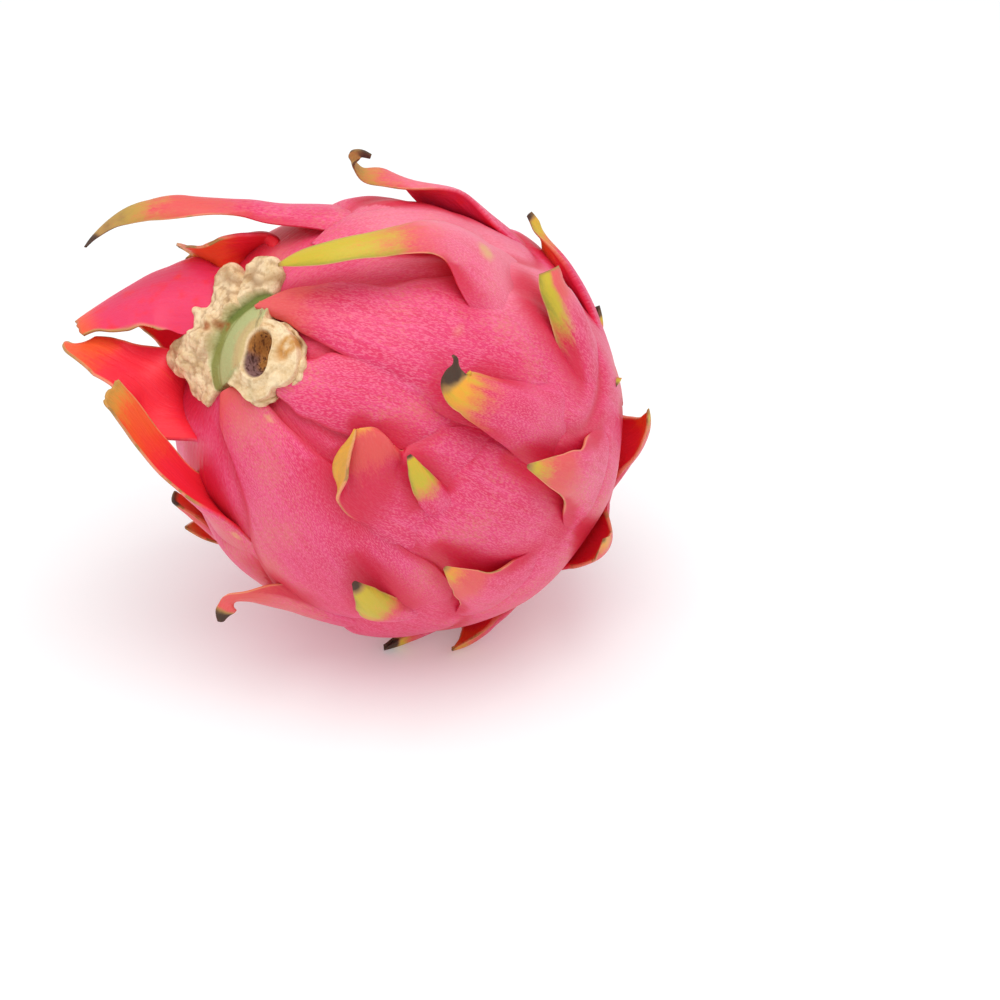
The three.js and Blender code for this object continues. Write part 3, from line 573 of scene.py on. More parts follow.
def bract_facts(bract, u, v, growth, free, face):
    """What the finish needs at each point: where it is deep red, orange, green, dry, its margin, and its
    painted shade.
    """
    inside = face != bract.get("recurved", False)
    orange_at, green_at, dry_at = bract.get("lining", bract["ripen"]) if inside else bract["ripen"]
    rim = np.abs(v) ** 12 * free * smooth(0.3, 0.5, u)
    green = smooth(green_at - 0.08, green_at + TURNING, u) * smooth(*bract.get("stripe", EVERYWHERE), v)
    scorched = bract.get("scorched", 0) * rim * smooth(0.4, 0.8, u)
    faded = FADED_DRYNESS * bract.get("faded", 0) * green
    # Painted shade along the margins of bracts that lie on the skin, where the crease is.
    creased = PRESSED_SHADE * smooth(0.84, 1, np.abs(v)) * bract.get("pressed", False)
    # Painted shade: the lower side of the blade, past a quarter of its length, is darkened to crimson.
    painted_low_shade = bract.get("painted_low_shade", 0) * smooth(0.25, 0.5, u) * smooth(-0.9, -0.3, v) * (1 - u**3)
    return {
        "deep": np.full(u.shape, float(inside)),
        "orange": smooth(orange_at, orange_at + TURNING, u),
        "green": green,
        "hue": np.full(u.shape, bract.get("hue", 0.7)),
        "dry": np.maximum(smooth(dry_at, dry_at + DRYING, u), np.maximum(scorched, faded)),
        "margin": rim,
        "flank": v**2 * free,
        "rosy": np.full(u.shape, inside * bract.get("rosy", 0.0)),
        "shade": np.maximum(creased, painted_low_shade),
        "growth": growth,
    }


# %% [markdown]
# Under the bracts, the skin and the lower bracts are painted crimson as shade. Two pale patches are
# partly the waxy bloom and partly painted light. Small round scars, the areoles, show where spines once
# grew.

# %% Painted shade under the bracts, pale patches partly painted light, and areoles
RIB_SPOTS = 60
PAINTED_SHADE_MARGIN = 2.5  # how far past its margins a bract's painted shade reaches
# Pale patches, partly the waxy bloom and partly painted light.
BLOOM_AND_LIGHT = [[170, 62, 24], [152, 75, 18]]  # azimuth, polar angle and reach in millimetres
AREOLES = [[152, 66, 2.4], [58, 24, 0.8], [12, 52, 1.0], [126, 57, 1.2]]


def beside(points, bract):
    """For each point, its distance to the nearest spot of a bract's midrib, and what is known there."""
    u = np.linspace(0, 1, RIB_SPOTS)
    azimuth, polar, height, width = columns_through(bract["path"], u)
    reach = np.full(len(points), np.inf)
    nearest = np.zeros(len(points), int)
    for k, spot in enumerate(egg_point(azimuth, polar)):
        distance = np.linalg.norm(points - spot, axis=-1)
        nearest = np.where(distance < reach, k, nearest)
        reach = np.minimum(reach, distance)
    return reach, u[nearest], width[nearest], height[nearest]


def painted_shade_under_bracts(points):
    """Painted shade under the bracts, 0 to 1: how far each point lies under a bract, within the bract's
    width and below it.
    """
    foot = onto_egg(points)
    height = np.linalg.norm(points, axis=-1) - np.linalg.norm(foot, axis=-1)
    shade = np.zeros(len(points))
    for bract in EVERY_BRACT.values():
        reach, u, width, rib_height = beside(foot, bract)
        under = rib_height - height
        near = smooth(1.6, 0.3, reach / (width + PAINTED_SHADE_MARGIN)) * smooth(0.1, 0.35, u)
        shade = np.maximum(shade, near * smooth(0.8, 2.4, under) * smooth(15, 5, under))
    return shade


def marks(points):
    """The areoles, and pale patches that are partly the waxy bloom and partly painted light: 1 at the heart
    of each mark and 0 beyond its reach.
    """
    foot = onto_egg(points)
    found = {}
    for key, places in {"areole": AREOLES, "bloom": BLOOM_AND_LIGHT}.items():
        azimuth, polar, reach = np.array(places, float).T
        gap = np.linalg.norm(foot[:, None] - egg_point(azimuth, polar), axis=-1) / reach
        found[key] = np.max(smooth(1.1, 0.4, gap), axis=-1)
    return found


# %% [markdown]
# The bracts of each list are one mesh. Rolled ones have the finest grid and small ones the coarsest.

# %% The four groups of bracts
PLAIN_GRID = (65, 25)  # rows and columns
SMALL_GRID = (37, 15)
ROLLED_GRID = (97, 49)


def bract_piece(name, bracts, first_seed):
    """One mesh that holds every bract of a list."""
    points, quads, facts, start = [], [], {}, 0
    for seed, bract in enumerate(bracts.values(), first_seed):
        rows, columns = SMALL_GRID if bract.get("small") else ROLLED_GRID if "roll" in bract else PLAIN_GRID
        outer, inner, u, v, growth, free = blade(bract, seed, rows, columns)
        points += [outer.reshape(-1, 3), inner.reshape(-1, 3)]
        quads.append(sheet_faces(rows, columns) + start)
        start += 2 * rows * columns
        for face in (0, 1):
            for key, values in bract_facts(bract, u, v, growth, free, face).items():
                flat = values.reshape(-1, 3) if values.ndim == 3 else values.ravel()
                facts.setdefault(key, []).append(flat)
    every_point = np.concatenate(points)
    merged = {key: np.concatenate(values) for key, values in facts.items()}
    # Painted shade: bracts that lie under other bracts are darkened where those cover them.
    merged["shade"] = np.maximum(merged["shade"], painted_shade_under_bracts(every_point))
    merged.update(marks(every_point))
    return new_piece(name, laid_down(every_point), np.concatenate(quads), NO_TRIANGLES, merged)


bract_groups = [
    bract_piece("crown_bracts", CROWN, 1),
    bract_piece("front_bracts", FRONT, 20),
    bract_piece("top_bracts", TOP, 40),
    bract_piece("back_bracts", BACK, 60),
]

# %% [markdown]
# The skin is the egg with relief. It swells under each standing bract, falls away in the hollow in
# front of its root, and is creased beside the bracts that lie on it. Dents of two sizes finish it.
# Relief in the material alone would leave the outline smooth, so it is in the mesh.

# %% The skin's relief
SWELLING_LENGTH = 24.0
SWELLING_WIDTH = 0.75  # share of the bract's half width
SINKING = 0.5  # depth of the hollow, as a share of the swelling
CREASE_WIDTH = 2.0


def bract_relief(points, bract):
    """Height that one bract gives to the skin round it, and how deep in its hollow each point is.

    Across the bract the swelling falls off as exp(-(distance / its width)^2).
    Along it, the skin rises up to the root, sinks in front of it, and comes back to the egg.
    """
    path = np.asarray(bract["path"], float)
    root = egg_point(path[1, 0], path[1, 1])
    ahead = unit(egg_point(path[2, 0], path[2, 1]) - egg_point(path[0, 0], path[0, 1]))
    side = unit(np.cross(egg_normal(root), ahead))
    offset = points - root
    along = offset @ ahead
    across = offset @ side / (SWELLING_WIDTH * path[1, 3])
    near = smooth(2 * SWELLING_LENGTH, SWELLING_LENGTH, np.linalg.norm(offset, axis=-1)) * np.exp(-across**2)
    rise = smooth(-SWELLING_LENGTH, 0, along) * (1 - smooth(0, 9, along))
    hollow = smooth(1, 7, along) * (1 - smooth(9, 20, along))
    return bract["swell"] * near * (rise - SINKING * hollow), near * hollow


def creases(points, bract):
    """How close each point is to the margins of a lying bract: exp(-(gap / crease width)^2)."""
    reach, _, width, _ = beside(points, bract)
    return np.exp(-(((reach - width) / CREASE_WIDTH) ** 2))


# %% The skin between the bracts
BODY_MERIDIANS = 400
BODY_RINGS = 236
SKIN_LENGTH = 50.0  # of skin along the fruit, for each radian
CREASE_DEPTH = 0.7
CREASE_SHADE = 0.7
DENTS = [(0.35, 14.0, 5), (0.12, 5.0, 6)]  # height, size and seed of each layer


def skin_arrays():
    """Points of the skin, in the fruit's frame, and what its finish needs.

    Each point of the egg is moved along its normal by the sum of the swellings, less the creases, plus
    noise of two sizes.
    """
    polar = np.linspace(0, 180, BODY_RINGS + 2)[1:-1, None] + np.zeros(BODY_MERIDIANS)
    azimuth = np.linspace(0, 360, BODY_MERIDIANS, endpoint=False) + np.zeros((BODY_RINGS, 1))
    azimuth = np.concatenate([[0], azimuth.ravel(), [0]])
    polar = np.concatenate([[0], polar.ravel(), [180]])
    egg = egg_point(azimuth, polar)
    # deep gathers painted shade: the hollows in front of the roots and the creases beside lying bracts are
    # darkened.
    height = np.zeros(len(egg))
    deep = np.zeros(len(egg))
    for bract in EVERY_BRACT.values():
        if bract.get("swell"):
            raised, hollow = bract_relief(egg, bract)
            height += raised
            deep = np.maximum(deep, hollow)
        if bract.get("pressed"):
            crease = creases(egg, bract)
            height -= CREASE_DEPTH * crease
            deep = np.maximum(deep, CREASE_SHADE * crease)
    height += rough(egg, DENTS)
    points = egg + egg_normal(egg) * height[:, None]
    a, t = np.radians(azimuth), np.radians(polar)
    leaf_facts = ["deep", "orange", "green", "hue", "dry", "margin", "flank", "rosy"]
    facts = dict.fromkeys(leaf_facts, np.zeros(len(egg)))
    # The skin's painted shade: under the bracts, in the hollows and in the creases.
    facts["shade"] = np.maximum(painted_shade_under_bracts(points), deep)
    facts["growth"] = np.stack([BODY_RADIUS * np.cos(a), BODY_RADIUS * np.sin(a), SKIN_LENGTH * t], -1)
    facts.update(marks(points))
    return points, facts


skin_points, skin_facts = skin_arrays()
skin = new_piece("skin", laid_down(skin_points), *round_faces(BODY_RINGS, BODY_MERIDIANS), skin_facts)

# %% [markdown]
# The dry scar is where the flower sat. Lumps of cork stand round a smooth green cup, and the stub of
# the style, with its pit, stands off-centre in the cup. All could be sculpted, but a map of the flower
# end keeps them on the egg's own curve. Its x and y are the polar angle times the cosine and sine of
# the azimuth.

# %% The map of the flower end
COLLAR_MIDDLE = np.array([-1.0, 2.0])
COLLAR_EDGE = [  # x and y on the map in degrees, and the height of the cork there in millimetres
    [18.7, -2, 1.5], [18.2, -0.6, 1.2], [15, 0.9, 1.2], [12, 3, 1.2], [11.2, 6.5, 1.6], [11, 10.5, 2],
    [12, 15.5, 2.6], [8.5, 19.5, 2.8], [5.6, 20, 2.6], [3.4, 22.5, 3], [-0.5, 24, 3.2], [-5.2, 22.3, 3.4],
    [-8.5, 18.5, 3.2], [-10.2, 12.5, 2.8], [-9.2, 7.5, 2], [-8.8, 3.3, 1.2], [-12, 2.8, 1.5],
    [-16.5, 1.8, 2], [-21.3, -1.2, 3], [-21.8, -7.6, 4.2], [-18.2, -11.5, 4], [-14.6, -11, 2.6],
    [-15.6, -16.5, 5], [-10.6, -19.4, 5.2], [-6.2, -15.8, 4], [-3, -14.6, 3.8], [-0.5, -18.2, 5],
    [4, -15.4, 5], [8.5, -18.8, 6.2], [13.6, -20.2, 6.2], [16.4, -16, 5], [15.6, -11, 3.4], [19, -8, 1.8],
]
STUB_MIDDLE = np.array([-0.3, 12.2])
GROOVE_INNER = 14.5  # degrees of the map from the stub's middle
GROOVE_OUTER = 17.5
GROOVE_HEIGHT = 1.3
SCAR_SEAT = 1.2  # how deep the scar is rooted in the skin


def map_point(spot, height):
    """The place on the fruit of a spot of the map, raised by a height."""
    azimuth = np.degrees(np.arctan2(spot[..., 1], spot[..., 0]))
    return egg_point(azimuth, np.linalg.norm(spot, axis=-1), height)


def closed_curve(values, t):
    """A closed smooth curve through the values, for t from 0 to 1."""
    v = np.asarray(values, float)
    x = (t % 1) * len(v)
    k = np.floor(x).astype(int)
    around = (v[(k + step) % len(v)] for step in (-1, 0, 1, 2))
    return between_two(*around, (x - k)[..., None])


def wrinkles(points, size, seed):
    """Crinkled relief from 0 to 1: the distance from the nearest of one random point in each cell."""
    scaled = points / size
    cell = np.floor(scaled)
    nearest = np.full(scaled.shape[:-1], 9.0)
    for step in np.ndindex(3, 3, 3):
        corner = cell + np.array(step) - 1
        jitter = np.stack([corner_values(corner, seed + k) for k in range(3)], -1) * 0.42 + 0.5
        nearest = np.minimum(nearest, np.linalg.norm(scaled - corner - jitter, axis=-1))
    return np.clip(nearest, 0, 1)


def blot(spot, x, y, reach):
    """1 at a spot of the map and 0 beyond its reach in degrees, with a smooth fall."""
    return smooth(reach, 0.3 * reach, np.linalg.norm(spot - [x, y], axis=-1))


# %% The corky collar
COLLAR_MERIDIANS = 360
COLLAR_RINGS = 96
UNDER_SHARES = [0.94, 0.75, 0.5, 0.25]  # of the way out, for the rings of the under face
LUMP_SIZE = 5.5
LUMP_HEIGHT = 1.8
CRUMB_SIZE = 1.4
CRUMB_HEIGHT = 0.6
CRIMP = [(0.55, 2.4, 11), (0.3, 1.1, 12)]  # of the edge, in degrees
GRIT = [(0.5, 2.4, 9), (0.3, 0.9, 10)]
STUB_HOLLOW = 2.0  # how far the collar drops under the stub


def collar_arrays():
    """Points of the collar and what its finish needs. Rings run from its middle over the rim.

    Each ring is the crimped edge, shrunk towards the middle to a share of its size. The height is the
    groove's where there is no cork, and elsewhere the edge's own with lumps and crumbs added, times a
    rounding that ends in sqrt(1 - share^16).
    """
    share = np.linspace(0, 1, COLLAR_RINGS + 1)[1:] ** 0.75
    share = np.concatenate([share, UNDER_SHARES])[:, None]
    under = np.arange(len(share)) >= COLLAR_RINGS
    edge = closed_curve(COLLAR_EDGE, np.linspace(0, 1, COLLAR_MERIDIANS, endpoint=False))
    crimp = rough(edge * [1, 1, 0], CRIMP)[:, None]
    outline = edge[:, :2] + crimp * unit(edge[:, :2] - COLLAR_MIDDLE)
    spot = COLLAR_MIDDLE + (outline - COLLAR_MIDDLE) * share[..., None]
    foot = map_point(spot, 0 * spot[..., 0])
    from_stub = np.linalg.norm(spot - STUB_MIDDLE, axis=-1) + 0.7 * noise(foot, 2.5, 8)
    wall = smooth(GROOVE_OUTER - 0.2, GROOVE_OUTER + 0.7, from_stub)
    near_rim = smooth(0.62, 0.85, share) * smooth(3, 7, spot[..., 1])
    cork = np.maximum(wall, near_rim)
    lump = wrinkles(foot, LUMP_SIZE, 21)
    crumb = wrinkles(foot, CRUMB_SIZE, 25)
    bumpy = LUMP_HEIGHT * (0.5 - lump) + CRUMB_HEIGHT * (0.5 - crumb) + rough(foot, GRIT)
    full = edge[:, 2] * (0.82 + 0.18 * smooth(0.5, 0.85, share)) + bumpy * np.minimum(edge[:, 2] / 4, 1)
    height = GROOVE_HEIGHT + (full - GROOVE_HEIGHT) * cork
    height = height - smooth(11, 9, from_stub) * STUB_HOLLOW
    rounded = np.sqrt(np.clip(1 - share**16, 0, 1))
    height = np.where(under[:, None], -SCAR_SEAT, height * (0.3 + 0.7 * rounded))
    groove = smooth(GROOVE_INNER, GROOVE_INNER + 1.2, from_stub) * (1 - smooth(0.05, 0.5, wall))
    facts = {
        "cork": cork,
        "crevice": cork * np.maximum(smooth(0.55, 0.85, lump), 0.7 * smooth(0.5, 0.8, crumb)),
        "olive": groove,
        "green": groove * smooth(-1.5, -4.0, spot[..., 0]),
        "rust": np.maximum(blot(spot, -0.8, -4.8, 2.2), 0.8 * blot(spot, 1.0, -7.5, 1.6)),
        "dark": blot(spot, 11.4, -2.3, 2.4) * smooth(-0.3, 0.3, noise(foot, 1.3, 13)),
        **dict.fromkeys(["ochre", "pit", "tan", "mauve"], 0 * cork),
    }
    flat = {key: np.concatenate([[0], values.ravel(), [0]]) for key, values in facts.items()}
    middle_point = map_point(COLLAR_MIDDLE, np.array(-0.7))
    bottom = map_point(COLLAR_MIDDLE, np.array(-SCAR_SEAT))
    return np.concatenate([[middle_point], map_point(spot, height).reshape(-1, 3), [bottom]]), flat


# %% The stub of the style, with its pit
STUB_PROFILE = [  # reach on the map in degrees, height in millimetres, from the pit's floor outwards
    [0.4, 0.2], [1.6, 0.4], [2.3, 1.4], [2.7, 3.2], [3.1, 4.6], [3.6, 5.3], [4.5, 5.4], [6, 4.9],
    [8.5, 3.9], [11.5, 2.7], [14, 1.8], [15.8, 0.9], [16.6, -0.8],
]
STUB_RINGS = 90
STUB_MERIDIANS = 200
STUB_REACH = 16.6
PIT_BRIM = 3.6
PIT_TURN = np.radians(20)
PIT_STRETCH = 0.8
EDGE_SAMPLES = 600
EDGE_GAP = 0.6  # between the stub and the collar's edge
BRIM_GRIT = [(0.7, 2.6, 31), (0.35, 1.1, 32)]
FLOOR_GRIT = [(0.7, 1.4, 33), (0.3, 0.6, 35)]


def stub_arrays():
    """Points of the stub and what its finish needs: circles of the map round the stub's middle.

    Up to the brim of the pit each circle is stretched by 1 + k cos^2 of the angle from the pit's long
    axis, so the pit is a slot. Outside the brim the circles spread out evenly to the stub's edge,
    which stays inside the collar. The height is the profile's, or a corky plateau's where the collar
    is close.
    """
    s = np.linspace(0, 1, STUB_RINGS)[:, None]
    angle = np.linspace(-np.pi, np.pi, STUB_MERIDIANS, endpoint=False)[None, :]
    edge = closed_curve(COLLAR_EDGE, np.linspace(0, 1, EDGE_SAMPLES))[:, :2] - STUB_MIDDLE
    bearing = np.arctan2(edge[:, 1], edge[:, 0])
    order = np.argsort(bearing)
    room = np.interp(angle, bearing[order], np.linalg.norm(edge, axis=-1)[order], period=2 * np.pi)
    room = np.minimum(room - EDGE_GAP, STUB_REACH)
    reach, height = columns_through(STUB_PROFILE, s)
    height = height + 0 * angle
    inside = np.minimum(reach, PIT_BRIM) * (1 + PIT_STRETCH * np.cos(angle - PIT_TURN) ** 2)
    outside = np.maximum(reach - PIT_BRIM, 0) / (STUB_REACH - PIT_BRIM)
    direction = np.stack([np.cos(angle), np.sin(angle)], -1)
    spot = STUB_MIDDLE + direction * (inside + (room - inside) * outside)[..., None]
    foot = map_point(spot, height)
    corky = smooth(14.5, 11.5, room) + 0 * reach
    plateau = 4.9 - 0.7 * smooth(4, 8, reach) - 5.2 * smooth(14.6, 16.4, reach)
    height = height + (plateau - height) * corky * smooth(3.3, 4.2, reach)
    lumps = wrinkles(foot, 2.6, 34)
    rim = smooth(3.0, 3.8, reach) * (1 - smooth(7, 12, reach)) * (0.25 + 0.75 * corky)
    height = height + rim * rough(foot, BRIM_GRIT)
    height = height + corky * smooth(4, 7, reach) * (0.8 * (0.5 - lumps) - 0.3)
    height = height + (1 - smooth(2.6, 3.2, reach)) * rough(foot, FLOOR_GRIT)
    facts = {
        "cork": np.maximum(corky, 1 - smooth(3.2, 3.7, reach)) + 0 * angle,
        "mauve": smooth(-0.5, 2.0, spot[..., 0] - STUB_MIDDLE[0]) * smooth(1.6, 2.4, reach),
        "pit": 1 - smooth(2.9, 3.3, reach) + 0 * angle,
        "tan": (1 - smooth(5.5, 8.5, reach)) * (1 - corky),
        "ochre": smooth(1.0, 0.5, np.hypot((spot[..., 0] + 5.5) / 5.0, (spot[..., 1] - 17.6) / 2.6)),
        "olive": smooth(13.5, 15.5, reach) * (1 - corky),
        "dark": blot(spot, 11, 9, 1.8) * smooth(-0.2, 0.4, noise(foot, 1.2, 36)),
        "crevice": 0.5 * corky * smooth(0.55, 0.85, lumps),
        **dict.fromkeys(["green", "rust"], 0 * height),
    }
    first = map_point(STUB_MIDDLE, np.array(STUB_PROFILE[0][1]))
    last = map_point(STUB_MIDDLE, np.array(-SCAR_SEAT))
    flat = {key: np.concatenate([values.ravel()[:1], values.ravel(), [0]]) for key, values in facts.items()}
    return np.concatenate([[first], map_point(spot, height).reshape(-1, 3), [last]]), flat


# %% The scar as one piece
collar_points, collar_facts = collar_arrays()
stub_points, stub_facts = stub_arrays()
collar_quads, collar_triangles = round_faces(COLLAR_RINGS + len(UNDER_SHARES), COLLAR_MERIDIANS)
stub_quads, stub_triangles = round_faces(STUB_RINGS, STUB_MERIDIANS)
after = len(collar_points)
scar = new_piece(
    "scar",
    laid_down(np.concatenate([collar_points, stub_points])),
    np.concatenate([collar_quads, stub_quads + after]),
    np.concatenate([collar_triangles, stub_triangles + after]),
    {key: np.concatenate([collar_facts[key], stub_facts[key]]) for key in collar_facts},
)

# %% [markdown]
# At the other pole the stalk was cut. Its stub is a short round post with a rounded, dried edge. A
# cylinder would look machined, so a profile is turned about the fruit's axis and roughened.

# %% The stalk stub
STALK_HEIGHT = 4.0
STALK_SEAT = 1.5
STALK_RINGS = 60
STALK_MERIDIANS = 96
FLUTES = 5
FLUTE_DEPTH = 0.03
CUT_GRIT = [(0.25, 1.5, 41), (0.12, 0.6, 42)]


def stalk_arrays():
    """A profile of reach and height turned about the axis, its reach times 1 + depth cos(flutes angle)."""
    end = BODY_HALF_LENGTH + STALK_HEIGHT
    foot = BODY_HALF_LENGTH - STALK_SEAT
    profile = [
        [0.15, end - 0.9], [1.6, end - 0.7], [3.2, end - 0.3], [3.9, end - 0.1], [4.4, end - 0.5],
        [4.6, end - 1.6], [4.8, end - 2.8], [5.3, foot + 1.8], [5.5, foot + 0.8], [5.4, foot],
        [3.0, foot - 0.4],
    ]
    s = np.linspace(0, 1, STALK_RINGS)[:, None]
    angle = np.linspace(0, 2 * np.pi, STALK_MERIDIANS, endpoint=False)[None, :]
    reach, drop = columns_through(profile, s)
    reach = reach * (1 + FLUTE_DEPTH * np.cos(FLUTES * angle + 0.7))
    points = np.stack([reach * np.cos(angle), -reach * np.sin(angle), 0 * angle - drop], -1)
    bumpy = rough(points, CUT_GRIT)
    points[..., 2] += bumpy * (1 - smooth(0.1, 0.5, s))
    points[..., :2] *= (1 + 0.06 * bumpy)[..., None]
    first, last = ([[0, 0, -profile[end][1]]] for end in (0, -1))
    return np.concatenate([first, points.reshape(-1, 3), last])


stalk = new_piece("stalk", laid_down(stalk_arrays()), *round_faces(STALK_RINGS, STALK_MERIDIANS), {})

# %% [markdown]
# Materials are written as formulas. A Signal wraps a socket, and its operators add the Math nodes;
# every other node comes from Finish.node(), which takes the node's settings and its inputs. Nodes can
# be linked by hand in the editor, but a formula of one line shows what is mixed with what.

# %% A number in a material
class Signal:
    """A number that travels through a material: arithmetic on it adds Math nodes."""

    def __init__(self, finish, socket):
        self.finish = finish
        self.socket = socket

    def _maths(self, operation, first, second):
        return self.finish.node("ShaderNodeMath", {"operation": operation}, {0: first, 1: second})

    def __add__(self, other):
        return self._maths("ADD", self, other)

    def __sub__(self, other):
        return self._maths("SUBTRACT", self, other)

    def __rsub__(self, other):
        return self._maths("SUBTRACT", other, self)

    def __mul__(self, other):
        return self._maths("MULTIPLY", self, other)

    def __or__(self, other):
        """The larger of the two."""
        return self._maths("MAXIMUM", self, other)

    __radd__ = __add__
    __rmul__ = __mul__
    __ror__ = __or__

    def between(self, low, high):
        """0 below low, 1 above high, smooth in between. Low may be above high."""
        return self.finish.node(
            "ShaderNodeMapRange", {"interpolation_type": "SMOOTHSTEP"},
            {"Value": self, "From Min": low, "From Max": high},
        )


# %% Colours, and a material being written
def paint(red, green, blue):
    """A colour given as it looks on a screen, 0 to 255, in the linear light that materials use."""
    shown = np.array([red, green, blue]) / 255
    linear = np.where(shown <= 0.04045, shown / 12.92, ((shown + 0.055) / 1.055) ** 2.4)
    return (*linear.tolist(), 1.0)


class Finish:
    """A material being written. node() adds any node and returns one of its outputs as a Signal."""

    def __init__(self, name):
        self.material = bpy.data.materials.new(name)
        self.material.use_nodes = True
        self.tree = self.material.node_tree
        self.surface = self.tree.nodes["Principled BSDF"]

    def node(self, kind, settings=None, inputs=None, output=0):
        made = self.tree.nodes.new(kind)
        for key, value in (settings or {}).items():
            setattr(made, key, value)
        for key, value in (inputs or {}).items():
            self.feed(made.inputs[key], value)
        return Signal(self, made.outputs[output])

    def feed(self, socket, value):
        """Links a Signal to a socket, or sets a plain value on it."""
        if isinstance(value, Signal):
            self.tree.links.new(value.socket, socket)
        else:
            socket.default_value = value

    def attribute(self, name, output="Fac"):
        return self.node("ShaderNodeAttribute", {"attribute_name": name}, output=output)

    def attributes(self, names):
        """The number attributes of the mesh whose names are listed in one string."""
        return [self.attribute(name) for name in names.split()]

    def place(self):
        """Object coordinates, in metres."""
        return self.node("ShaderNodeTexCoord", output="Object")

    def noise(self, vector, scale, detail=2.0, roughness=0.5):
        inputs = {"Vector": vector, "Scale": scale, "Detail": detail, "Roughness": roughness}
        return self.node("ShaderNodeTexNoise", {}, inputs)

    def mix(self, below, above, factor):
        """Colour above laid over colour below by a factor."""
        return self.node("ShaderNodeMix", {"data_type": "RGBA"}, {0: factor, 6: below, 7: above}, output=2)

    def layers(self, colour, *above):
        """Colours laid over one another in turn, each by its own share."""
        for paint_above, share in above:
            colour = self.mix(colour, paint_above, share)
        return colour

    def scaled(self, vector, factors):
        return self.node("ShaderNodeVectorMath", {"operation": "MULTIPLY"}, {0: vector, 1: factors})

    def bump(self, height, distance, strength, **below):
        """Relief of a height, over the relief below it if Normal gives one."""
        inputs = {"Height": height, "Distance": distance, "Strength": strength, **below}
        return self.node("ShaderNodeBump", {}, inputs, output="Normal")

    def set(self, **sockets):
        """Feeds inputs of the surface, whose names have _ for each space."""
        for key, value in sockets.items():
            self.feed(self.surface.inputs[key.replace("_", " ")], value)


# %% [markdown]
# The skin is crimson pink with a fine pale pebble. It is drawn out along the growth of the fruit into
# short streaks, is painted a deeper crimson as shade under the bracts and in every hollow and crease,
# is red on the inner faces of the bracts, and ripens along each bract through orange and yellow-green to
# a dry brown tip. A painted picture would need every blade unfolded. Colours mixed from the attributes
# follow the bracts by themselves.

# %% The skin's finish
PINK = paint(220, 36, 88)
ROSE = paint(236, 74, 132)
RUSTY = paint(216, 130, 92)
MAGENTA = paint(232, 56, 104)
AREOLE = paint(224, 176, 112)
PALE_GRAIN = paint(250, 146, 174)
BLOOM_AND_LIGHT_PINK = paint(250, 158, 172)
SHADE_CRIMSON = paint(210, 20, 56)
BRIGHT_RED = paint(246, 38, 58)
SCARLET = paint(250, 56, 44)
SALMON = paint(226, 90, 78)
ORANGE = paint(246, 112, 40)
GOLD = paint(238, 166, 50)
YELLOW_GREEN = paint(202, 180, 46)
LEAF_GREEN = paint(140, 142, 46)
TAN = paint(176, 134, 74)
BROWN = paint(74, 54, 42)
CREAM_EDGE = paint(238, 168, 122)


def skin_finish():
    """One finish for the skin and every bract, steered by the attributes of their meshes."""
    f = Finish("pitaya skin")
    place = f.place()
    growth = f.attribute("growth", "Vector")
    deep, shade, rosy, bloom, areole = f.attributes("deep shade rosy bloom areole")
    orange, green, hue, dry, margin, flank = f.attributes("orange green hue dry margin flank")
    cloud = f.noise(place, 45, 3)
    uneven = f.noise(place, 260, 3)
    grain = f.noise(f.scaled(growth, (1.0, 1.0, 0.3)), 4.2, 1, 0.6)
    streak = f.noise(f.scaled(growth, (1.0, 1.0, 0.1)), 0.7, 3)
    fleck = f.noise(f.scaled(growth, (1.0, 1.0, 0.6)), 2.2, 2, 0.7)
    stray = (uneven - 0.5) * 0.5 + (streak - 0.5) * 0.6 + (grain - 0.5) * 0.4

    fresh = f.mix(PINK, ROSE, (streak * 0.6 + cloud * 0.8).between(0.45, 0.95) * 0.9)
    lining = f.mix(BRIGHT_RED, SCARLET, (orange * 0.9 + uneven * 0.4).between(0.15, 0.8))
    lining = f.mix(lining, MAGENTA, rosy * (1.0 - orange) * uneven.between(0.2, 0.5))
    ripe = f.mix(SALMON, ORANGE, deep)
    olive = (streak * 0.6 + flank * 0.45 + fleck * 0.3).between(0.55, 1.05) * hue
    leafy = f.mix(GOLD, YELLOW_GREEN, (hue + stray).between(0.2, 0.8))
    leafy = f.mix(leafy, LEAF_GREEN, olive)
    withered = f.mix(TAN, BROWN, (dry * 0.9 + (uneven - 0.5) * 0.9).between(0.45, 0.95))
    brown_edge = margin.between(0.4, 0.95) * uneven.between(0.5, 0.6)
    colour = f.layers(
        fresh,
        (PALE_GRAIN, grain.between(0.42, 0.66) * 0.38),
        (RUSTY, (cloud + fleck * 0.7).between(0.84, 1.08) * 0.5),
        # The pale patches, partly bloom and partly painted light.
        (BLOOM_AND_LIGHT_PINK, bloom * (0.25 + grain * 0.35)),
        # Painted shade: crimson under the bracts, in the hollows and in the creases.
        (SHADE_CRIMSON, (shade + stray * 0.25).between(0.0, 1.0) * 0.85),
        (lining, deep * (0.78 + streak * 0.3)),
        (ripe, (orange + stray * 1.3).between(0.1, 1.0) * (0.8 - deep * 0.25)),
        (leafy, (green + stray).between(0.15, 0.95)),
        (AREOLE, areole * 0.8),
        (CREAM_EDGE, margin.between(0.3, 0.9) * 0.6),
        (withered, (dry + stray * 0.4).between(0.12, 0.65) | brown_edge),
    )

    pebbles = f.bump(grain, 0.0001, 0.5)
    relief = f.bump(streak, 0.0005, 0.5, Normal=pebbles)
    f.set(Base_Color=colour, Roughness=0.42 + dry * 0.3 + grain * 0.12, Normal=relief)
    f.set(Specular_IOR_Level=0.4)
    f.set(Subsurface_Weight=0.12, Subsurface_Radius=(0.0025, 0.0008, 0.0006), Subsurface_Scale=1.0)
    return f.material


skin_material = skin_finish()
for piece in [skin, *bract_groups]:
    piece.data.materials.append(skin_material)

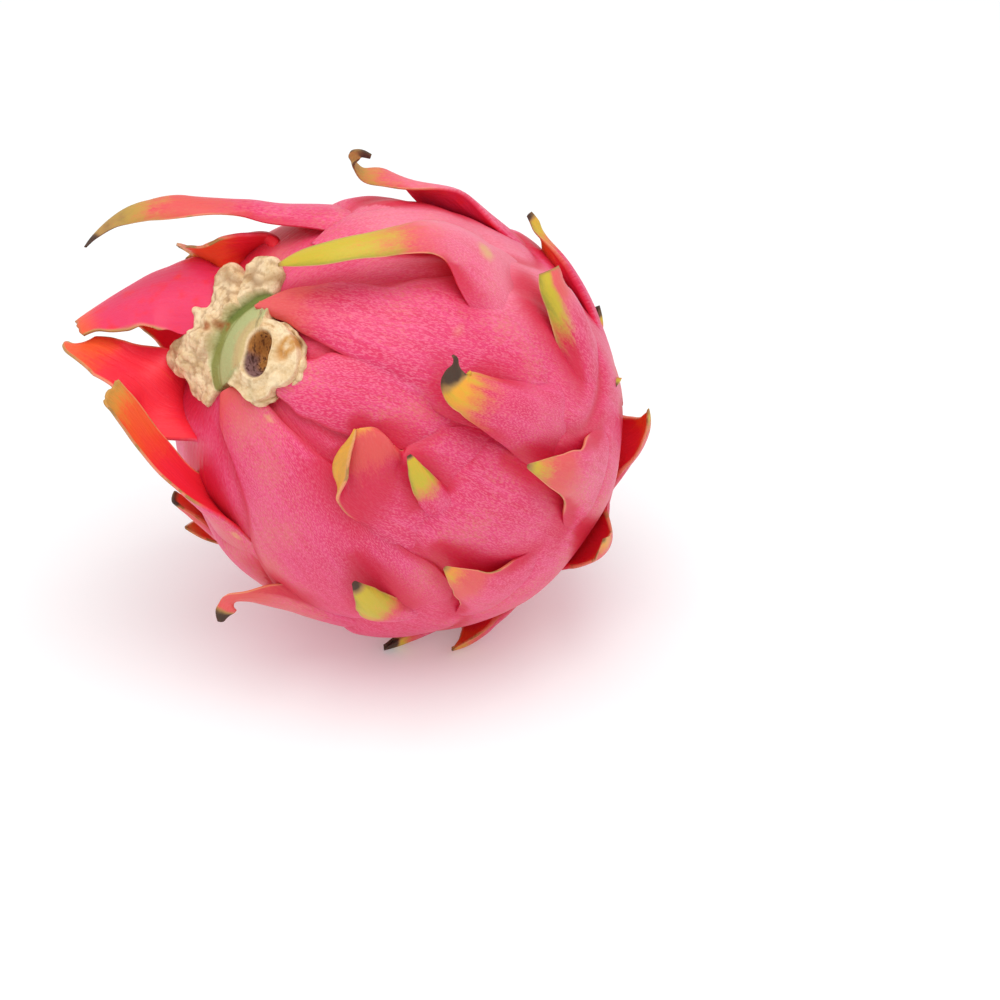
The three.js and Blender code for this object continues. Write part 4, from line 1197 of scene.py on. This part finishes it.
# %% [markdown]
# Cork is dry, matt and full of crevices. The cup inside it is smooth and still green, olive where it
# meets the cork, and the walls of the pit are fibrous and brown. The lumps are in the mesh already,
# so noise only has to break up the colours and add the finest grain.

# %% The scar's finish
CORK_CREAM = paint(248, 222, 182)
CORK_TAN = paint(224, 190, 142)
CORK_BROWN = paint(146, 100, 58)
MINT = paint(184, 190, 130)
MINT_TAN = paint(206, 174, 120)
OLIVE = paint(134, 132, 60)
DARK_GREEN = paint(112, 126, 58)
RUST = paint(168, 84, 36)
OCHRE = paint(204, 146, 78)
PIT_OCHRE = paint(190, 128, 66)
PIT_MAUVE = paint(140, 104, 100)
PIT_DARK = paint(70, 34, 26)


def scar_finish():
    """Cork, cup and pit in one finish, steered by the attributes of the mesh."""
    f = Finish("dry flower scar")
    place = f.place()
    cork, crevice, ochre, tan, olive = f.attributes("cork crevice ochre tan olive")
    green, rust, dark, pit, mauve = f.attributes("green rust dark pit mauve")
    blotch = f.noise(place, 260, 3)
    grain = f.noise(place, 1500, 3, 0.6)
    woody = f.layers(
        CORK_CREAM,
        (CORK_TAN, (blotch * 0.9 + grain * 0.5).between(0.5, 0.9)),
        (CORK_BROWN, crevice * 0.7 + grain.between(0.6, 0.8) * 0.3),
        (OCHRE, ochre * blotch.between(0.3, 0.5)),
    )
    cup = f.layers(
        MINT,
        (MINT_TAN, tan * 0.85 | blotch.between(0.55, 0.8) * 0.6),
        (OLIVE, olive * (0.7 + blotch * 0.3)),
        (DARK_GREEN, green * 0.85),
    )
    fibre = f.noise(f.scaled(place, (1.0, 1.0, 0.25)), 1600, 3)
    walls = f.layers(PIT_OCHRE, (PIT_MAUVE, mauve), (PIT_DARK, fibre.between(0.48, 0.66) * 0.85))
    colour = f.layers(
        cup,
        (woody, cork),
        (RUST, rust * blotch.between(0.35, 0.55)),
        (PIT_DARK, (dark + (grain - 0.5) * 0.8).between(0.45, 0.8) * 0.75),
        (walls, pit),
    )
    f.set(Base_Color=colour, Roughness=0.55 + cork * 0.35, Normal=f.bump(grain, 0.0004, 0.8))
    f.set(Specular_IOR_Level=0.3)
    return f.material


scar.data.materials.append(scar_finish())

# %% [markdown]
# The stalk is dull green where it is fresh and straw-coloured where it has dried. One noise mixes the
# two, and a finer one adds the grain of the wood.

# %% The stalk's finish
STALK_GREEN = paint(158, 160, 92)
STALK_DRY = paint(190, 166, 116)


def stalk_finish():
    """Dull green with dry blotches and fine brown grain."""
    f = Finish("cut stalk")
    place = f.place()
    blotch = f.noise(place, 300, 4)
    grain = f.noise(place, 1500, 3)
    colour = f.mix(STALK_GREEN, STALK_DRY, blotch.between(0.4, 0.62))
    colour = f.mix(colour, CORK_BROWN, grain.between(0.55, 0.75) * 0.5)
    f.set(Base_Color=colour, Roughness=0.75 + grain * 0.15, Normal=f.bump(grain, 0.0003, 0.8))
    return f.material


stalk.data.materials.append(stalk_finish())

# %% [markdown]
# The floor is a plain pale sheet, wide enough to fill every view. It isn't part of the fruit, so it is
# only staged for the pictures.

# %% Floor
FLOOR_HALF = 3000.0
PAPER_LIGHT = paint(232, 236, 236)
PAPER_DARK = paint(228, 232, 232)
PAPER_GLOW = 0.2  # a little light of its own keeps the paper white
floor = new_piece(
    "floor",
    np.array([[-1, -1, 0], [1, -1, 0], [1, 1, 0], [-1, 1, 0]]) * FLOOR_HALF,
    np.array([[0, 1, 2, 3]]), NO_TRIANGLES, {},
)
paper = Finish("white paper")
paper_shade = paper.mix(PAPER_LIGHT, PAPER_DARK, paper.noise(paper.place(), 8, 2))
paper.set(Base_Color=paper_shade, Roughness=0.9, Emission_Color=(1, 1, 1, 1), Emission_Strength=PAPER_GLOW)
floor.data.materials.append(paper.material)

# %% [markdown]
# Last, the imported parts that the new pieces stand for are hidden, and each piece rides on the
# root body.

# %% Tie the pieces to the imported model
for piece in [skin, *bract_groups]:
    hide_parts("fruit")
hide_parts("flower_scar")
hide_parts("stem_stub")
for piece in [skin, *bract_groups, scar, stalk]:
    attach(piece, "root")
